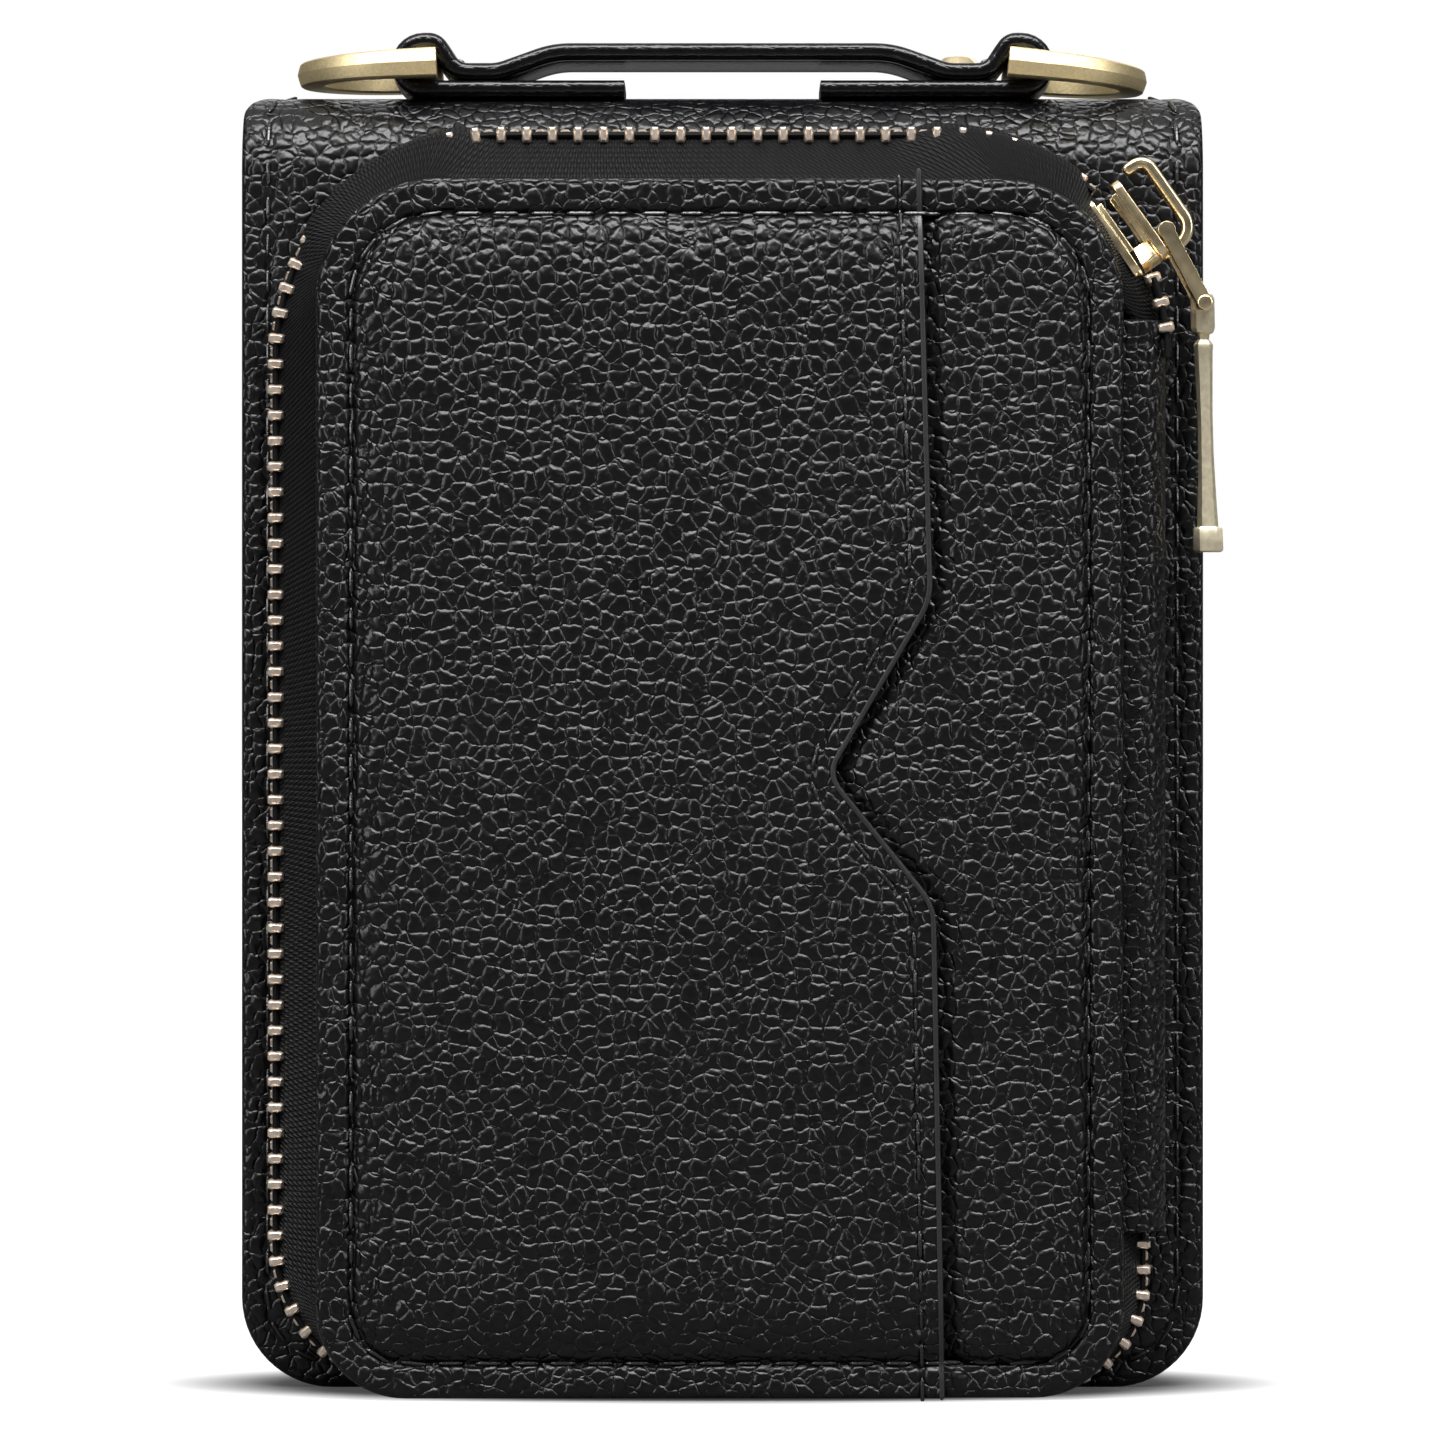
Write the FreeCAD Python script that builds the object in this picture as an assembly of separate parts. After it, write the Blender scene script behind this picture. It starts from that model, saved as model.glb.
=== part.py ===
# Zip around wallet. A small bifold stands on its cover edges with the spine on top.
# The front cover carries a zip-around pocket whose leather front swings open on a
# hinge strip at the right, and the spine carries a strap with a D-ring at each end.
# Millimetres. +X right, front faces -Y, +Z up. Origin: middle of the standing footprint.
import FreeCAD, Part
import math
import os

Vector = FreeCAD.Vector
os.makedirs("parts", exist_ok=True)

# ---- bifold body
body_width = 96.2
body_height = 129.5
body_depth = 24.0
pocket_depth = 14.3             # from the front cover's face to the front of the card slip
cover_radius_bottom = 9.0
cover_radius_top = 1.8
fold_radius = 2.2               # round of the leather over each fold
fold_gap = 0.1                  # play between a cover and the spine at the mitred fold
leather = 1.2
board = 0.8
lining = 0.5
board_inset = 3.0               # leather turned in round each board
board_fold_inset = 5.0          # boards stop short of the folds
lining_inset = 0.8

# ---- inner pockets
sleeve_leather = 0.8
sleeve_inset = 3.0
sleeve_height = 92.0
sleeve_notch_radius = 9.0
slot_count = 3
slot_height = 98.0
slot_step = 15.0                # each card slot is this much lower than the one behind

# ---- zip chain round the pocket
chain_left = 44.1
chain_right_top = 43.9
chain_right_bottom = 41.45
chain_top = 124.5
chain_bottom = 1.2
chain_radius_top = 22.0
chain_radius_bottom_left = 14.0
chain_radius_bottom_right = 10.0
chain_standoff = 7.15           # from the cover's face to the middle of the teeth
tooth_pitch = 2.53
tooth_width = 1.0
tooth_height = 1.6
tooth_mesh = 0.9                # how far a tooth reaches past the middle of the chain
bead_height = 1.0
bead_near = 1.3
bead_far = 2.6
tape_thickness = 0.8
tape_clearance = 0.1            # round the open ends of the rows, and inside the tape's seam
open_spread = 1.3               # the rows stand this much further apart past the slider

# ---- pocket door
door_left = 39.9
door_right = 39.4
door_bottom = 0.2
door_top = 119.9
door_radius_top = 12.0
door_radius_bottom = 8.8
rim_width = 3.5
rim_round = 0.7
slip_leather = 0.9
card_gap = 0.3
field_leather = 1.0
door_board = 0.6
slip_edge = 20.6                # right edge of the card slip
notch_low = 48.6
notch_high = 78.5
notch_tip_height = 61.4
notch_tip = 10.5
notch_tip_radius = 3.0
notch_end_radius = 4.0
tape_rim_inset = 0.6
tape_run = 4.9                  # from the chain in to the tape's seam on the rim
tape_cover_inset = 1.0
pocket_lining_inset = 5.8

# ---- hinge strip
strip_leather = 1.4
strip_outer = 43.8
strip_low = 16.3
strip_high = 106.2
strip_foot = 37.2
strip_rear_foot = 38.6
strip_bend_radius = 2.2
hinge_gap = 0.1                 # each half of the strip stops this far from the hinge plane

# ---- zip end stop
stop_height = 2.0
stop_width = 1.6
stop_depth = 2.3

# ---- slider
slider_angle = 55.0             # where it is parked, from the top of the right corner arc
slider_length = 9.2
slider_half_width = 3.3
slider_tail_half_width = 2.6
slider_channel = 2.4            # between the two plates
plate_outer = 0.9
plate_inner = 0.9
plate_nose_radius = 1.6
plate_tail_radius = 1.0
flange_setback = 1.0            # from the tail end of the plates
flange_width = 0.6
flange_height = 0.6
flange_length = 5.6
wedge_length = 2.8
wedge_half_width = 1.0
slider_clearance = 0.4
crown_thickness = 1.1
crown_half_width = 1.5
crown_height = 4.0              # from the outer plate to the top of the crown
crown_mouth = 1.1               # opening under the crown's free tip
crown_nose_bend = 2.0
crown_tip_bend = 1.25
corner_start_angle = -12.0      # the chain is free to part round the slider from here

# ---- puller
link_bar_radius = 0.85
link_drop = (3.77, -7.16)       # from the crown to the pull pin
link_arm_width = 1.3
link_arm_height = 1.4
link_arm_gap = 0.4              # each side of the crown
eye_length = 3.4
link_centre = (43.8, 115.06)
pin_radius = 0.8
pin_clearance = 0.15
pull_length = 24.5
pull_width = 2.4
pull_depth = 2.4
pull_head_length = 3.0          # full width round the pin, then in to the waist and out again
pull_waist = 2.0
pull_waist_at = 4.5
pull_waist_end = 7.0
pull_end_width = 2.9
pull_end_height = 2.4
pull_setback = 1.2              # its middle stands this far behind the middle of the chain
pull_bevel = 0.35

# ---- carry strap and D-rings
strap_width = 15.0
strap_leather = 1.7
strap_tail_length = 20.2        # from a ring's bar to the cut end of the tail
strap_ply_gap = 0.05            # between the strap's grip and its tail where they are sewn
ring_inset = 18.0               # from the side of the body to the ring's bar
ring_clearance = 0.2
ring_bar_radius = 1.35
ring_reach = 13.1               # from the bar's middle to the ring's outer end
ring_half_depth = 10.5
ring_section = 2.7
ring_bevel = 0.7
ring_droop_left = 2.6
ring_droop_right = 5.7
strap_rise = 2.0                # of the grip above its dips
strap_dip_start = 4.1           # these three from the ring's bar towards the middle
strap_dip_end = 7.5
strap_grip_end = 13.1
rivet_setback = 6.2             # from the ring's bar
rivet_radius = 2.65
rivet_dome = 1.2
rivet_crown_radius = 1.5
rivet_shank_radius = 1.0
rivet_washer = 0.5

# ---- worked out from the above
total_depth = body_depth + pocket_depth
back_y = total_depth / 2
cover_y = back_y - body_depth
pocket_y = -total_depth / 2
middle_y = (cover_y + back_y) / 2
chain_y = cover_y - chain_standoff
half_width = body_width / 2
ring_offset = half_width - ring_inset
rivet_x = ring_offset - rivet_setback
skin = leather + board + lining
rim_front = pocket_y + slip_leather
field_front = rim_front + card_gap
board_front = field_front + field_leather
rim_back = board_front + door_board
corner_x = chain_right_top - chain_radius_top
corner_z = chain_top - chain_radius_top
strip_middle = strip_outer - strip_leather / 2
strip_top_angle = math.degrees(math.acos((strip_high + tooth_width - corner_z) / chain_radius_top))
past_corner_angle = 110.0       # past the open ends of both rows
far = 200.0                     # past every edge of the wallet


# A closed outline from its corners, each rounded to its own radius.
def corner_arc(before, corner, after, radius):
    towards = (before - corner).normalize()
    away = (after - corner).normalize()
    half_angle = towards.getAngle(away) / 2
    run = radius / math.tan(half_angle)
    inwards = (towards + away).normalize()
    centre = corner + inwards * (radius / math.sin(half_angle))
    return corner + towards * run, centre - inwards * radius, corner + away * run


def rounded_face(corners, radii):
    points = [Vector(a, b, 0) for a, b in corners]
    count = len(points)
    edges = []
    stops = []
    for index, radius in enumerate(radii):
        corner = points[index]
        if radius > 0:
            following = points[(index + 1) % count]
            start, middle, end = corner_arc(points[index - 1], corner, following, radius)
            edges.append(Part.Arc(start, middle, end).toShape())
            stops.append((start, end))
        else:
            stops.append((corner, corner))
    for index in range(count):
        leave = stops[index][1]
        arrive = stops[(index + 1) % count][0]
        if leave.distanceToPoint(arrive) > Part.Precision.confusion():
            edges.append(Part.makeLine(leave, arrive))
    return Part.Face(Part.Wire(Part.__sortEdges__(edges)))


# The same corners and radii moved sideways, to the left of the direction of travel.
def moved_path(corners, radii, distance, closed=False):
    points = [Vector(a, b, 0) for a, b in corners]
    count = len(points)
    new_corners = []
    new_radii = []
    for index, point in enumerate(points):
        inner = closed or 0 < index < count - 1
        arriving = (point - points[index - 1]).normalize() if closed or index else None
        leaving = (points[(index + 1) % count] - point).normalize() if closed or index < count - 1 else None
        first = arriving or leaving
        second = leaving or arriving
        left_first = Vector(-first.y, first.x, 0)
        left_second = Vector(-second.y, second.x, 0)
        step = (left_first + left_second) * (distance / (1 + left_first.dot(left_second)))
        turn = first.x * second.y - first.y * second.x
        new_corners.append(((point + step).x, (point + step).y))
        radius = radii[index]
        new_radii.append(radius - math.copysign(distance, distance * turn) if inner and radius else 0)
    return new_corners, new_radii


# A strip of even thickness along an open path.
def ribbon_face(corners, radii, thickness):
    left, left_radii = moved_path(corners, radii, thickness / 2)
    right, right_radii = moved_path(corners, radii, -thickness / 2)
    return rounded_face(left + right[::-1], left_radii + right_radii[::-1])


# Faces are drawn flat and then stood up: front views run along Y, side views along X.
def front_slab(face, front, back):
    solid = face.extrude(Vector(0, 0, back - front))
    solid.rotate(Vector(), Vector(1, 0, 0), 90)
    solid.translate(Vector(0, back, 0))
    return solid


def side_slab(face, left, right):
    solid = face.extrude(Vector(0, 0, right - left))
    solid.rotate(Vector(), Vector(1, 1, 1), 120)
    solid.translate(Vector(left, 0, 0))
    return solid


def plan_slab(face, low, high):
    solid = face.extrude(Vector(0, 0, high - low))
    solid.translate(Vector(0, 0, low))
    return solid


def rectangle(left, right, low, high):
    return [(left, low), (right, low), (right, high), (left, high)]


def block(left, right, front, back, low, high):
    size = (right - left, back - front, high - low)
    return Part.makeBox(*size, Vector(left, front, low))


def single(shape):
    solid = shape.removeSplitter()
    return solid.Solids[0] if len(solid.Solids) == 1 else solid


def save(name, shape):
    single(shape).exportStep(f"parts/{name}.step")


# ---- outlines seen from the front
cover_corners = rectangle(-half_width, half_width, 0, body_height)
cover_radii = [cover_radius_bottom, cover_radius_bottom, cover_radius_top, cover_radius_top]
door_corners = rectangle(-door_left, door_right, door_bottom, door_top)
door_radii = [door_radius_bottom, door_radius_bottom, door_radius_top, door_radius_top]
chain_path = [
    (chain_right_top, corner_z - tooth_pitch),
    (chain_right_top, chain_top),
    (-chain_left, chain_top),
    (-chain_left, chain_bottom),
    (chain_right_bottom, chain_bottom),
    (chain_right_bottom, strip_low),
]
wall_corners = [chain_path[3], chain_path[4], chain_path[1], chain_path[2]]
wall_radii = [chain_radius_bottom_left, chain_radius_bottom_right, chain_radius_top, chain_radius_top]


def inset_outline(corners, radii, distance):
    return moved_path(corners, radii, distance, closed=True)


def outline_slab(corners, radii, distance, front, back):
    return front_slab(rounded_face(*inset_outline(corners, radii, distance)), front, back)


# ---- bifold covers and spine
def wrap(depth):
    corners = rectangle(cover_y + depth, back_y - depth, -depth, body_height - depth)
    round_top = max(fold_radius - depth, leather / 4)
    return side_slab(rounded_face(corners, [0, 0, round_top, round_top]), -half_width, half_width)


def wrap_layer(outer, inner, inset):
    outline = outline_slab(cover_corners, cover_radii, inset, -far, far)
    low_cut = block(-far, far, -far, far, -far, inset)
    return wrap(outer).cut(wrap(inner)).common(outline).cut(low_cut)


def cover_regions():
    half_depth = body_depth / 2
    apex = body_height - half_depth
    front = [(cover_y - half_depth, -far), (middle_y, -far), (middle_y, apex),
             (cover_y - half_depth, body_height + half_depth)]
    back = [(middle_y, -far), (back_y + half_depth, -far),
            (back_y + half_depth, body_height + half_depth), (middle_y, apex)]
    spine = [(middle_y, apex + fold_gap), (back_y + half_depth, body_height + half_depth + fold_gap),
             (cover_y - half_depth, body_height + half_depth + fold_gap)]
    flat = [0, 0, 0, 0]
    return {
        "front_cover": side_slab(rounded_face(front, flat), -far, far),
        "spine": side_slab(rounded_face(spine, flat[:3]), -far, far),
        "back_cover": side_slab(rounded_face(back, flat), -far, far),
    }


def board_solids():
    width = half_width - board_inset
    cover_top = body_height - board_fold_inset
    round_low = cover_radius_bottom - board_inset
    corners = rectangle(-width, width, board_inset, cover_top)
    face = rounded_face(corners, [round_low, round_low, cover_radius_top, cover_radius_top])
    front = cover_y + leather
    back = back_y - leather - board
    top = body_height - leather
    spine_ends = (cover_y + board_fold_inset, back_y - board_fold_inset)
    return {
        "front_cover": front_slab(face, front, front + board),
        "spine": block(-width, width, *spine_ends, top - board, top),
        "back_cover": front_slab(face, back, back + board),
    }


def rivet_hole():
    low = body_height - skin
    high = body_height + 2 * strap_leather + strap_ply_gap
    return Part.makeCylinder(rivet_shank_radius, high - low, Vector(rivet_x, middle_y, low))


def rivet_solid():
    strap_top = body_height + 2 * strap_leather + strap_ply_gap
    underside = body_height - skin
    dome = Part.makeCone(rivet_radius, rivet_crown_radius, rivet_dome, Vector(rivet_x, middle_y, strap_top))
    washer_seat = Vector(rivet_x, middle_y, underside - rivet_washer)
    washer = Part.makeCylinder(rivet_radius, rivet_washer, washer_seat)
    return dome.fuse([rivet_hole(), washer])


def save_bifold():
    regions = cover_regions()
    boards = board_solids()
    shell = wrap_layer(0, leather + board, 0)
    lined = wrap_layer(leather + board, skin, lining_inset)
    for name, region in regions.items():
        stiffener = boards[name]
        leather_part = shell.common(region).cut(stiffener)
        lining_part = lined.common(region)
        if name == "spine":
            leather_part = leather_part.cut(rivet_hole())
            lining_part = lining_part.cut(rivet_hole())
            stiffener = stiffener.cut(rivet_hole())
        save(f"{name}_leather", leather_part)
        save(f"{name}_board", stiffener)
        save(f"{name}_lining", lining_part)
    save("handle_rivet", rivet_solid())


# ---- pockets inside the bifold, open at the top
def save_inner_pockets():
    width = half_width - sleeve_inset
    low = sleeve_inset
    round_low = cover_radius_bottom - sleeve_inset
    sleeve_y = cover_y + skin
    sleeve_top = low + sleeve_height
    corners = rectangle(-width, width, low, sleeve_top)
    face = rounded_face(corners, [round_low, round_low, 0, 0])
    sleeve = front_slab(face, sleeve_y, sleeve_y + sleeve_leather)
    seat = Vector(0, sleeve_y - sleeve_leather, sleeve_top)
    notch = Part.makeCylinder(sleeve_notch_radius, 3 * sleeve_leather, seat, Vector(0, 1, 0))
    save("passport_sleeve", sleeve.cut(notch))
    wall_y = back_y - skin
    for index in range(slot_count):
        top = low + slot_height - index * slot_step
        corners = rectangle(-width, width, low, top)
        back = wall_y - index * sleeve_leather
        slot = front_slab(rounded_face(corners, [round_low, round_low, 0, 0]), back - sleeve_leather, back)
        save(f"card_slot_{index + 1}", slot)


# ---- zip chain
def sector(start_angle, end_angle):
    reach = 3 * chain_radius_top
    points = [(corner_x, corner_z)]
    for angle in (start_angle, end_angle):
        turn = math.radians(angle)
        points.append((corner_x + reach * math.sin(turn), corner_z + reach * math.cos(turn)))
    return front_slab(rounded_face(points, [0, 0, 0]), -far, far)


def chain_path_radii():
    return [0, chain_radius_top, chain_radius_top, chain_radius_bottom_left, chain_radius_bottom_right, 0]


def chain_edges():
    # the middle of the chain as edges in order, from the open end to the bottom stop
    points = [Vector(x, chain_y, z) for x, z in chain_path]
    edges = []
    start = points[0]
    for index, radius in enumerate(chain_path_radii()[1:-1], start=1):
        arc_start, middle, end = corner_arc(points[index - 1], points[index], points[index + 1], radius)
        edges.append(Part.makeLine(start, arc_start))
        edges.append(Part.Arc(arc_start, middle, end).toShape())
        start = end
    edges.append(Part.makeLine(start, points[-1]))
    return edges


def chain_stations(shift):
    # middles of the teeth and the chain's direction there
    places = []
    edges = chain_edges()
    left = sum(edge.Length for edge in edges) - shift - tooth_width
    travelled = shift
    for edge in edges:
        while travelled < edge.Length and left > 0:
            at = edge.getParameterByLength(travelled)
            places.append((edge.valueAt(at), edge.tangentAt(at)))
            travelled += tooth_pitch
            left -= tooth_pitch
        travelled -= edge.Length
    return places


def tooth_at(place, along, side):
    # side -1 is the door's row and +1 the cover's row
    near = -side * tooth_mesh
    low, high = sorted((near, side * bead_near))
    corner = Vector(-tooth_width / 2, low, -tooth_height / 2)
    tooth = Part.makeBox(tooth_width, high - low, tooth_height, corner)
    tooth.rotate(Vector(), Vector(0, 1, 0), math.degrees(math.atan2(-along.z, along.x)))
    tooth.translate(place)
    return tooth


def angle_on_corner(place):
    return math.degrees(math.atan2(place.x - corner_x, place.z - corner_z))


def zip_rows():
    slider_turn = math.degrees((slider_length / 2 + slider_clearance) / chain_radius_top)
    tooth_turn = math.degrees(tooth_width / chain_radius_top)
    meshed = (corner_start_angle, slider_angle - slider_turn)
    opened = (slider_angle + slider_turn, strip_top_angle)
    corner = sector(*meshed)
    past_slider = sector(*opened)
    whole_corner = sector(meshed[0], past_corner_angle)
    band_face = ribbon_face(chain_path, chain_path_radii(), bead_height)
    room_face = ribbon_face(chain_path, chain_path_radii(), tooth_height + 2 * tape_clearance)
    open_ends = {}
    for side, row in ((-1, "front"), (1, "rear")):
        low, high = sorted((side * bead_near, side * bead_far))
        bead = front_slab(band_face, chain_y + low, chain_y + high)
        groups = {"teeth": [], "corner": [], "open_end": []}
        shift = tooth_width if side < 0 else tooth_width + tooth_pitch / 2
        for place, along in chain_stations(shift):
            angle = angle_on_corner(place)
            tooth = tooth_at(place, along, side)
            on_corner = place.x > 0 and place.z > chain_top / 2
            if not on_corner or angle < meshed[0] - tooth_turn:
                groups["teeth"].append(tooth)
            elif meshed[0] + tooth_turn < angle < meshed[1] - tooth_turn:
                groups["corner"].append(tooth)
            elif opened[0] + tooth_turn < angle < opened[1] - tooth_turn:
                groups["open_end"].append(tooth)
        beads = {
            "teeth": bead.cut(whole_corner),
            "corner": bead.common(corner),
            "open_end": bead.common(past_slider),
        }
        for group, teeth in groups.items():
            row_group = Part.makeCompound([beads[group]] + teeth)
            if group == "open_end":
                row_group.translate(Vector(0, side * open_spread, 0))
            save(f"zip_{group}_{row}", row_group)
        low, high = sorted((-side * tooth_mesh, side * bead_far))
        room = front_slab(room_face, chain_y + low - tape_clearance, chain_y + high + tape_clearance)
        room.translate(Vector(0, side * open_spread, 0))
        open_ends[row] = room.common(past_slider)
    return open_ends


def ring_wall(near_inset, near_y, far_corners, far_radii, far_inset, far_y):
    loops = []
    for inset in (0, tape_thickness):
        near = inset_outline(wall_corners, wall_radii, near_inset + inset)
        other = inset_outline(far_corners, far_radii, far_inset + inset)
        wires = []
        for outline, y in ((near, near_y), (other, far_y)):
            wires.append(wire_at(rounded_face(*outline).OuterWire, y))
        loops.append(Part.makeLoft(wires, True, True))
    return loops[0].cut(loops[1])


def wire_at(wire, y):
    wire.rotate(Vector(), Vector(1, 0, 0), 90)
    wire.translate(Vector(0, y, 0))
    return wire


def slider_envelope():
    half = slider_length / 2 + slider_clearance
    depth = slider_half_width + slider_clearance
    tall = slider_channel / 2 + plate_inner + slider_clearance
    shape = block(-half, half, -depth, depth, -tall, tall)
    return park(shape)


def park(shape):
    # from the top of the corner arc, drawn level, to where the slider is parked
    shape.translate(Vector(corner_x, chain_y, chain_top))
    shape.rotate(Vector(corner_x, 0, corner_z), Vector(0, 1, 0), slider_angle)
    return shape


def seam_outline():
    # where the front tape is sewn to the back of the rim
    corners, radii = inset_outline(wall_corners, wall_radii, tape_run)
    low = door_bottom + tape_rim_inset
    corners[0] = (corners[0][0], low)
    corners[1] = (corners[1][0], low)
    return corners, [door_radius_bottom, door_radius_bottom] + radii[2:]


def save_tapes(open_ends):
    strip_space = block(strip_foot - rim_width, far, -far, far, strip_low, strip_high)
    corner = sector(corner_start_angle, past_corner_angle)
    near = -tape_thickness / 2
    front = ring_wall(near, chain_y - bead_far, *seam_outline(), 0, rim_back)
    rear = ring_wall(near, chain_y + bead_far, wall_corners, wall_radii, tape_cover_inset, cover_y)
    for row, wall in (("front", front), ("rear", rear)):
        wall = wall.cut(strip_space)
        save(f"zip_tape_{row}", wall.cut(corner))
        save(f"zip_tape_corner_{row}", wall.common(corner).cut([slider_envelope(), open_ends[row]]))


# ---- pocket door
def save_door():
    rim = outline_slab(door_corners, door_radii, 0, rim_front, rim_back)
    front_edges = [edge for edge in rim.Edges if edge.BoundBox.YMax < rim_front + rim_round / 2]
    rim = rim.makeChamfer(rim_round, front_edges)
    rim = rim.cut(outline_slab(door_corners, door_radii, rim_width, -far, far))
    save("door_rim", rim)
    save("door_leather", outline_slab(door_corners, door_radii, rim_width, field_front, board_front))
    save("door_board", outline_slab(door_corners, door_radii, rim_width, board_front, rim_back))
    lining_corners, lining_radii = seam_outline()
    lining_corners[2] = (lining_corners[1][0], lining_corners[2][1])
    inside_tape = tape_thickness + tape_clearance
    lining_back = rim_back + lining
    save("door_lining", outline_slab(lining_corners, lining_radii, inside_tape, rim_back, lining_back))
    slip = outline_slab(door_corners, door_radii, 0, pocket_y, rim_front)
    slip = slip.cut(block(slip_edge, far, -far, far, -far, far))
    past = slip_edge + (slip_edge - notch_tip)
    spread = (past - notch_tip) / (slip_edge - notch_tip)
    high = notch_tip_height + (notch_high - notch_tip_height) * spread
    low = notch_tip_height + (notch_low - notch_tip_height) * spread
    notch_corners = [(notch_tip, notch_tip_height), (past, low), (past, high)]
    notch = rounded_face(notch_corners, [notch_tip_radius, 0, 0])
    save("card_slip", slip.cut(front_slab(notch, -far, far)))


# ---- hinge strip, its front half on the door and its rear half on the cover
def save_strip():
    half = strip_leather / 2
    front_foot = rim_back + half
    rear_foot = cover_y - half
    front = [(strip_middle, chain_y - hinge_gap), (strip_middle, front_foot), (strip_foot, front_foot)]
    rear = [(strip_middle, chain_y + hinge_gap), (strip_middle, rear_foot), (strip_rear_foot, rear_foot)]
    for name, path in (("front", front), ("rear", rear)):
        face = ribbon_face(path, [0, strip_bend_radius, 0], strip_leather)
        save(f"hinge_strip_{name}", plan_slab(face, strip_low, strip_high))
    inner = chain_right_bottom - stop_width / 2
    stop = block(inner, inner + stop_width, chain_y + hinge_gap, chain_y + stop_depth,
                 strip_low, strip_low + stop_height)
    save("zip_bottom_stop", stop)
    pocket = outline_slab(wall_corners, wall_radii, pocket_lining_inset, cover_y - lining, cover_y)
    save("pocket_lining", pocket)


# ---- slider, drawn level: nose towards +X, outer plate up
def slider_plate(low, high):
    half = slider_length / 2
    corners = [(-half, -slider_tail_half_width), (half / 3, -slider_half_width), (half, -slider_half_width),
               (half, slider_half_width), (half / 3, slider_half_width), (-half, slider_tail_half_width)]
    radii = [plate_tail_radius, 0, plate_nose_radius, plate_nose_radius, 0, plate_tail_radius]
    return plan_slab(rounded_face(corners, radii), low, high)


def save_slider():
    half = slider_length / 2
    gap = slider_channel / 2
    body = slider_plate(gap, gap + plate_outer)
    inner = slider_plate(-gap - plate_inner, -gap)
    wedge_corners = [(half - wedge_length, 0), (half - wedge_length / 3, -wedge_half_width),
                     (half, 0), (half - wedge_length / 3, wedge_half_width)]
    wedge = plan_slab(rounded_face(wedge_corners, [0, 0, 0, 0]), -gap, gap)
    pieces = [inner, wedge]
    for side in (-1, 1):
        edge = side * slider_tail_half_width
        low, high = sorted((edge, edge - side * flange_width))
        tail = flange_setback - half
        flange = block(tail, tail + flange_length, low, high, gap - flange_height, gap)
        pieces.append(flange)
        pieces.append(flange.translated(Vector(0, 0, flange_height - slider_channel)))
    save("slider_body", park(body.fuse(pieces)))
    seat = gap + plate_outer
    top = seat + crown_height - crown_thickness / 2
    centre_line = [(half - crown_thickness / 2, seat), (half - crown_thickness / 2, top),
                   (-half - crown_thickness / 4, top), (-half - crown_thickness / 4, seat + crown_mouth)]
    arch = ribbon_face(centre_line, [0, crown_nose_bend, crown_tip_bend, 0], crown_thickness)
    crown = front_slab(arch, -crown_half_width, crown_half_width)
    save("slider_crown", park(crown))


# ---- pull link: a bar through the crown, an arm each side of it and an eye below
def save_puller():
    x, z = link_centre
    centre = Vector(x, chain_y, z)
    reach = math.hypot(*link_drop)
    lean = math.degrees(math.atan2(-link_drop[1], link_drop[0]))
    arm_near = crown_half_width + link_arm_gap
    arm_far = arm_near + link_arm_width
    bar = Part.makeCylinder(link_bar_radius, 2 * arm_far, Vector(0, -arm_far, 0), Vector(0, 1, 0))
    pieces = []
    half = link_arm_height / 2
    eye_start = reach - eye_length / 2
    for side in (-1, 1):
        low, high = sorted((side * arm_near, side * arm_far))
        pieces.append(block(0, eye_start, low, high, -half, half))
    middle = pull_setback
    ear_gap = pull_depth / 2 + pin_clearance
    for side in (-1, 1):
        low, high = sorted((middle + side * ear_gap, side * arm_far))
        ear = block(eye_start - half, reach, low, high, -half, half)
        tip = Part.makeCylinder(half, high - low, Vector(reach, low, 0), Vector(0, 1, 0))
        pieces.append(ear.fuse(tip))
    link = bar.fuse(pieces)
    pin_hole = Part.makeCylinder(pin_radius, 2 * arm_far, Vector(reach, -arm_far, 0), Vector(0, 1, 0))
    link = link.cut(pin_hole)
    for shape in (link, pin_hole):
        shape.rotate(Vector(), Vector(0, 1, 0), lean)
        shape.translate(centre)
    save("pull_link", link)
    save("pull_pin", pin_hole)
    save_pull_bar(x + link_drop[0], chain_y + pull_setback, z + link_drop[1])


def save_pull_bar(x, y, z):
    # side view outline, then the same round the pin hole
    top = pull_width / 2
    block_top = pull_end_height - pull_length
    outline = [
        (-top, top), (-top, -pull_head_length), (-pull_waist / 2, -pull_waist_at), (-top, -pull_waist_end),
        (-top, block_top), (-pull_end_width / 2, block_top),
        (-pull_end_width / 2, -pull_length), (pull_end_width / 2, -pull_length),
        (pull_end_width / 2, block_top), (top, block_top),
        (top, -pull_waist_end), (pull_waist / 2, -pull_waist_at), (top, -pull_head_length), (top, top),
    ]
    radii = [top / 2] + [0] * (len(outline) - 2) + [top / 2]
    bar = front_slab(rounded_face(outline, radii), -pull_depth / 2, pull_depth / 2)
    long_edges = [edge for edge in bar.Edges if edge.BoundBox.ZLength > pull_length / 2]
    bar = bar.makeChamfer(pull_bevel, long_edges)
    hole_radius = pin_radius + pin_clearance / 2
    hole = Part.makeCylinder(hole_radius, 2 * pull_depth, Vector(0, -pull_depth, 0), Vector(0, 1, 0))
    bar = bar.cut(hole)
    bar.translate(Vector(x, y, z))
    save("pull_bar", bar)


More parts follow.
